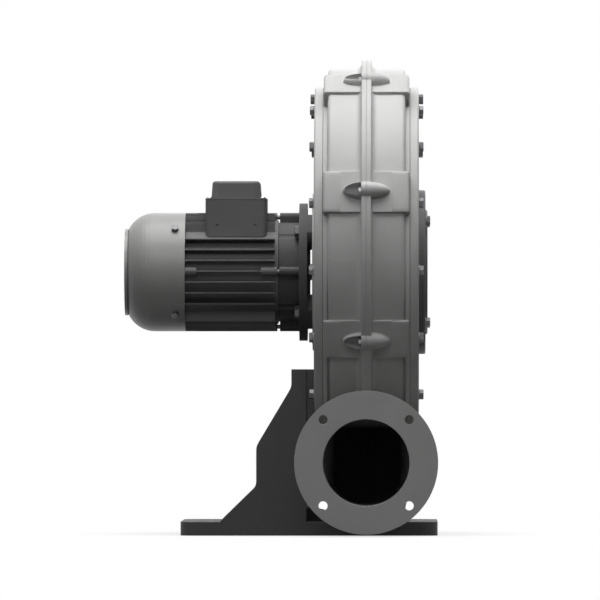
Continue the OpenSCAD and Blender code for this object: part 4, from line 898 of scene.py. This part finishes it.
shoulders = join([band_shoulder(arc, angle, side) for arc, angle in seams for side in (-1, 1)])
hand_over(shoulders, "volute_band_shoulders", CASING_PAINT, "housing")

# %% [markdown]
# The fan cover hangs on four small bolts that point at the shaft, the rear shield is drawn on by
# four along it, and four more hold the outlet flange from behind. They are the same kind of head at
# a smaller size, so the bolt models above serve again.

# %% Fan cover bolts
FAN_COVER_RADIUS = 87 * MM
FAN_BOLT_X = -280.5 * MM
outwards = Matrix.Translation((FAN_BOLT_X, 0, 0)) @ Matrix.Rotation(math.radians(-90), 4, "X")
places = around_shaft(4, FAN_COVER_RADIUS, 45, outwards)
bolts = copies_at(hexagon_bolt(6 * MM, 10 * MM), places)
hand_over(bolts, "fan_cover_screws_detailed", BLACK_BOLT, "housing", ("fan_cover_screws",))

# %% Rear shield bolts
REAR_SHIELD_FACE = -274 * MM
REAR_BOLT_CIRCLE = 77.95 * MM
places = around_shaft(4, REAR_BOLT_CIRCLE, 0, facing(REAR_SHIELD_FACE, -1))
bolts = copies_at(hexagon_bolt(6 * MM, 20 * MM, washer=False), places)
hand_over(
    bolts, "rear_shield_bolts_detailed", BLACK_BOLT, "housing", ("rear_shield_bolts",))

# %% Outlet flange bolts
COLLAR_BACK = -297 * MM
OUTLET_HEIGHT = 107.5 * MM
COLLAR_BOLT_CIRCLE = 74.7 * MM
backwards = Matrix.Rotation(math.radians(-90), 4, "X")
places = []
for angle in (30, 150, 210, 330):
    x = COLLAR_BOLT_CIRCLE * math.cos(math.radians(angle))
    z = COLLAR_BOLT_CIRCLE * math.sin(math.radians(angle))
    places.append(Matrix.Translation((x, COLLAR_BACK, OUTLET_HEIGHT + z)) @ backwards)
bolts = copies_at(hexagon_bolt(5 * MM, 18 * MM, washer=False), places)
hand_over(
    bolts, "outlet_flange_screws_detailed", BLACK_BOLT, "housing",
    ("outlet_flange_screws",))

# %% [markdown]
# The terminal box is closed by four slotted screws. Their round heads are cylinders with a wide
# bevel on the top edge, and a thin box cuts the slot. The slots stand at four different angles,
# because nobody stops a screw where it looks neat.

# %% Slotted lid screws
LID_SCREW_SEAT = 492.6 * MM
HEAD_ROUND = 0.6
SLOT_WIDTH = 0.26
# Each screw: its place along X and Y in millimetres, and the turn of its slot in degrees
LID_SCREWS = ((-230.3, -51.5, 20), (-230.3, 51.5, 75), (-152.3, -51.5, 130), (-152.3, 51.5, 50))


def slotted_screw(diameter, grip):
    """A round-headed screw whose head stands on z = 0."""
    head_radius = diameter
    head_height = diameter / 2
    deselect()
    bpy.ops.mesh.primitive_cylinder_add(
        vertices=40, radius=head_radius, depth=head_height, location=(0, 0, head_height / 2))
    head = bpy.context.object
    settle(head)
    for vertex in head.data.vertices:
        vertex.select = vertex.co.z > head_height / 2
    for edge in head.data.edges:
        edge.select = all(head.data.vertices[v].select for v in edge.vertices)
    for face in head.data.polygons:
        face.select = all(head.data.vertices[v].select for v in face.vertices)
    bpy.ops.object.mode_set(mode="EDIT")
    bpy.ops.mesh.bevel(offset=head_height * HEAD_ROUND, segments=4)
    bpy.ops.object.mode_set(mode="OBJECT")
    deselect()
    bpy.ops.mesh.primitive_cube_add(size=1, location=(0, 0, head_height))
    slot = bpy.context.object
    slot.scale = (3 * head_radius, head_radius * SLOT_WIDTH, head_height)
    settle(slot)
    cut = head.modifiers.new("slot", "BOOLEAN")
    cut.operation = "DIFFERENCE"
    cut.solver = "EXACT"
    cut.object = slot
    apply_modifier(head, cut)
    bpy.data.objects.remove(slot)
    return join([head, shank(diameter / 2, grip)])


places = [
    Matrix.Translation((x * MM, y * MM, LID_SCREW_SEAT))
    @ Matrix.Rotation(math.radians(turn), 4, "Z")
    for x, y, turn in LID_SCREWS
]
screws = copies_at(slotted_screw(4 * MM, 11.1 * MM), places)
hand_over(
    screws, "terminal_lid_screws_detailed", BRIGHT_STEEL, "housing",
    ("terminal_lid_screws",))
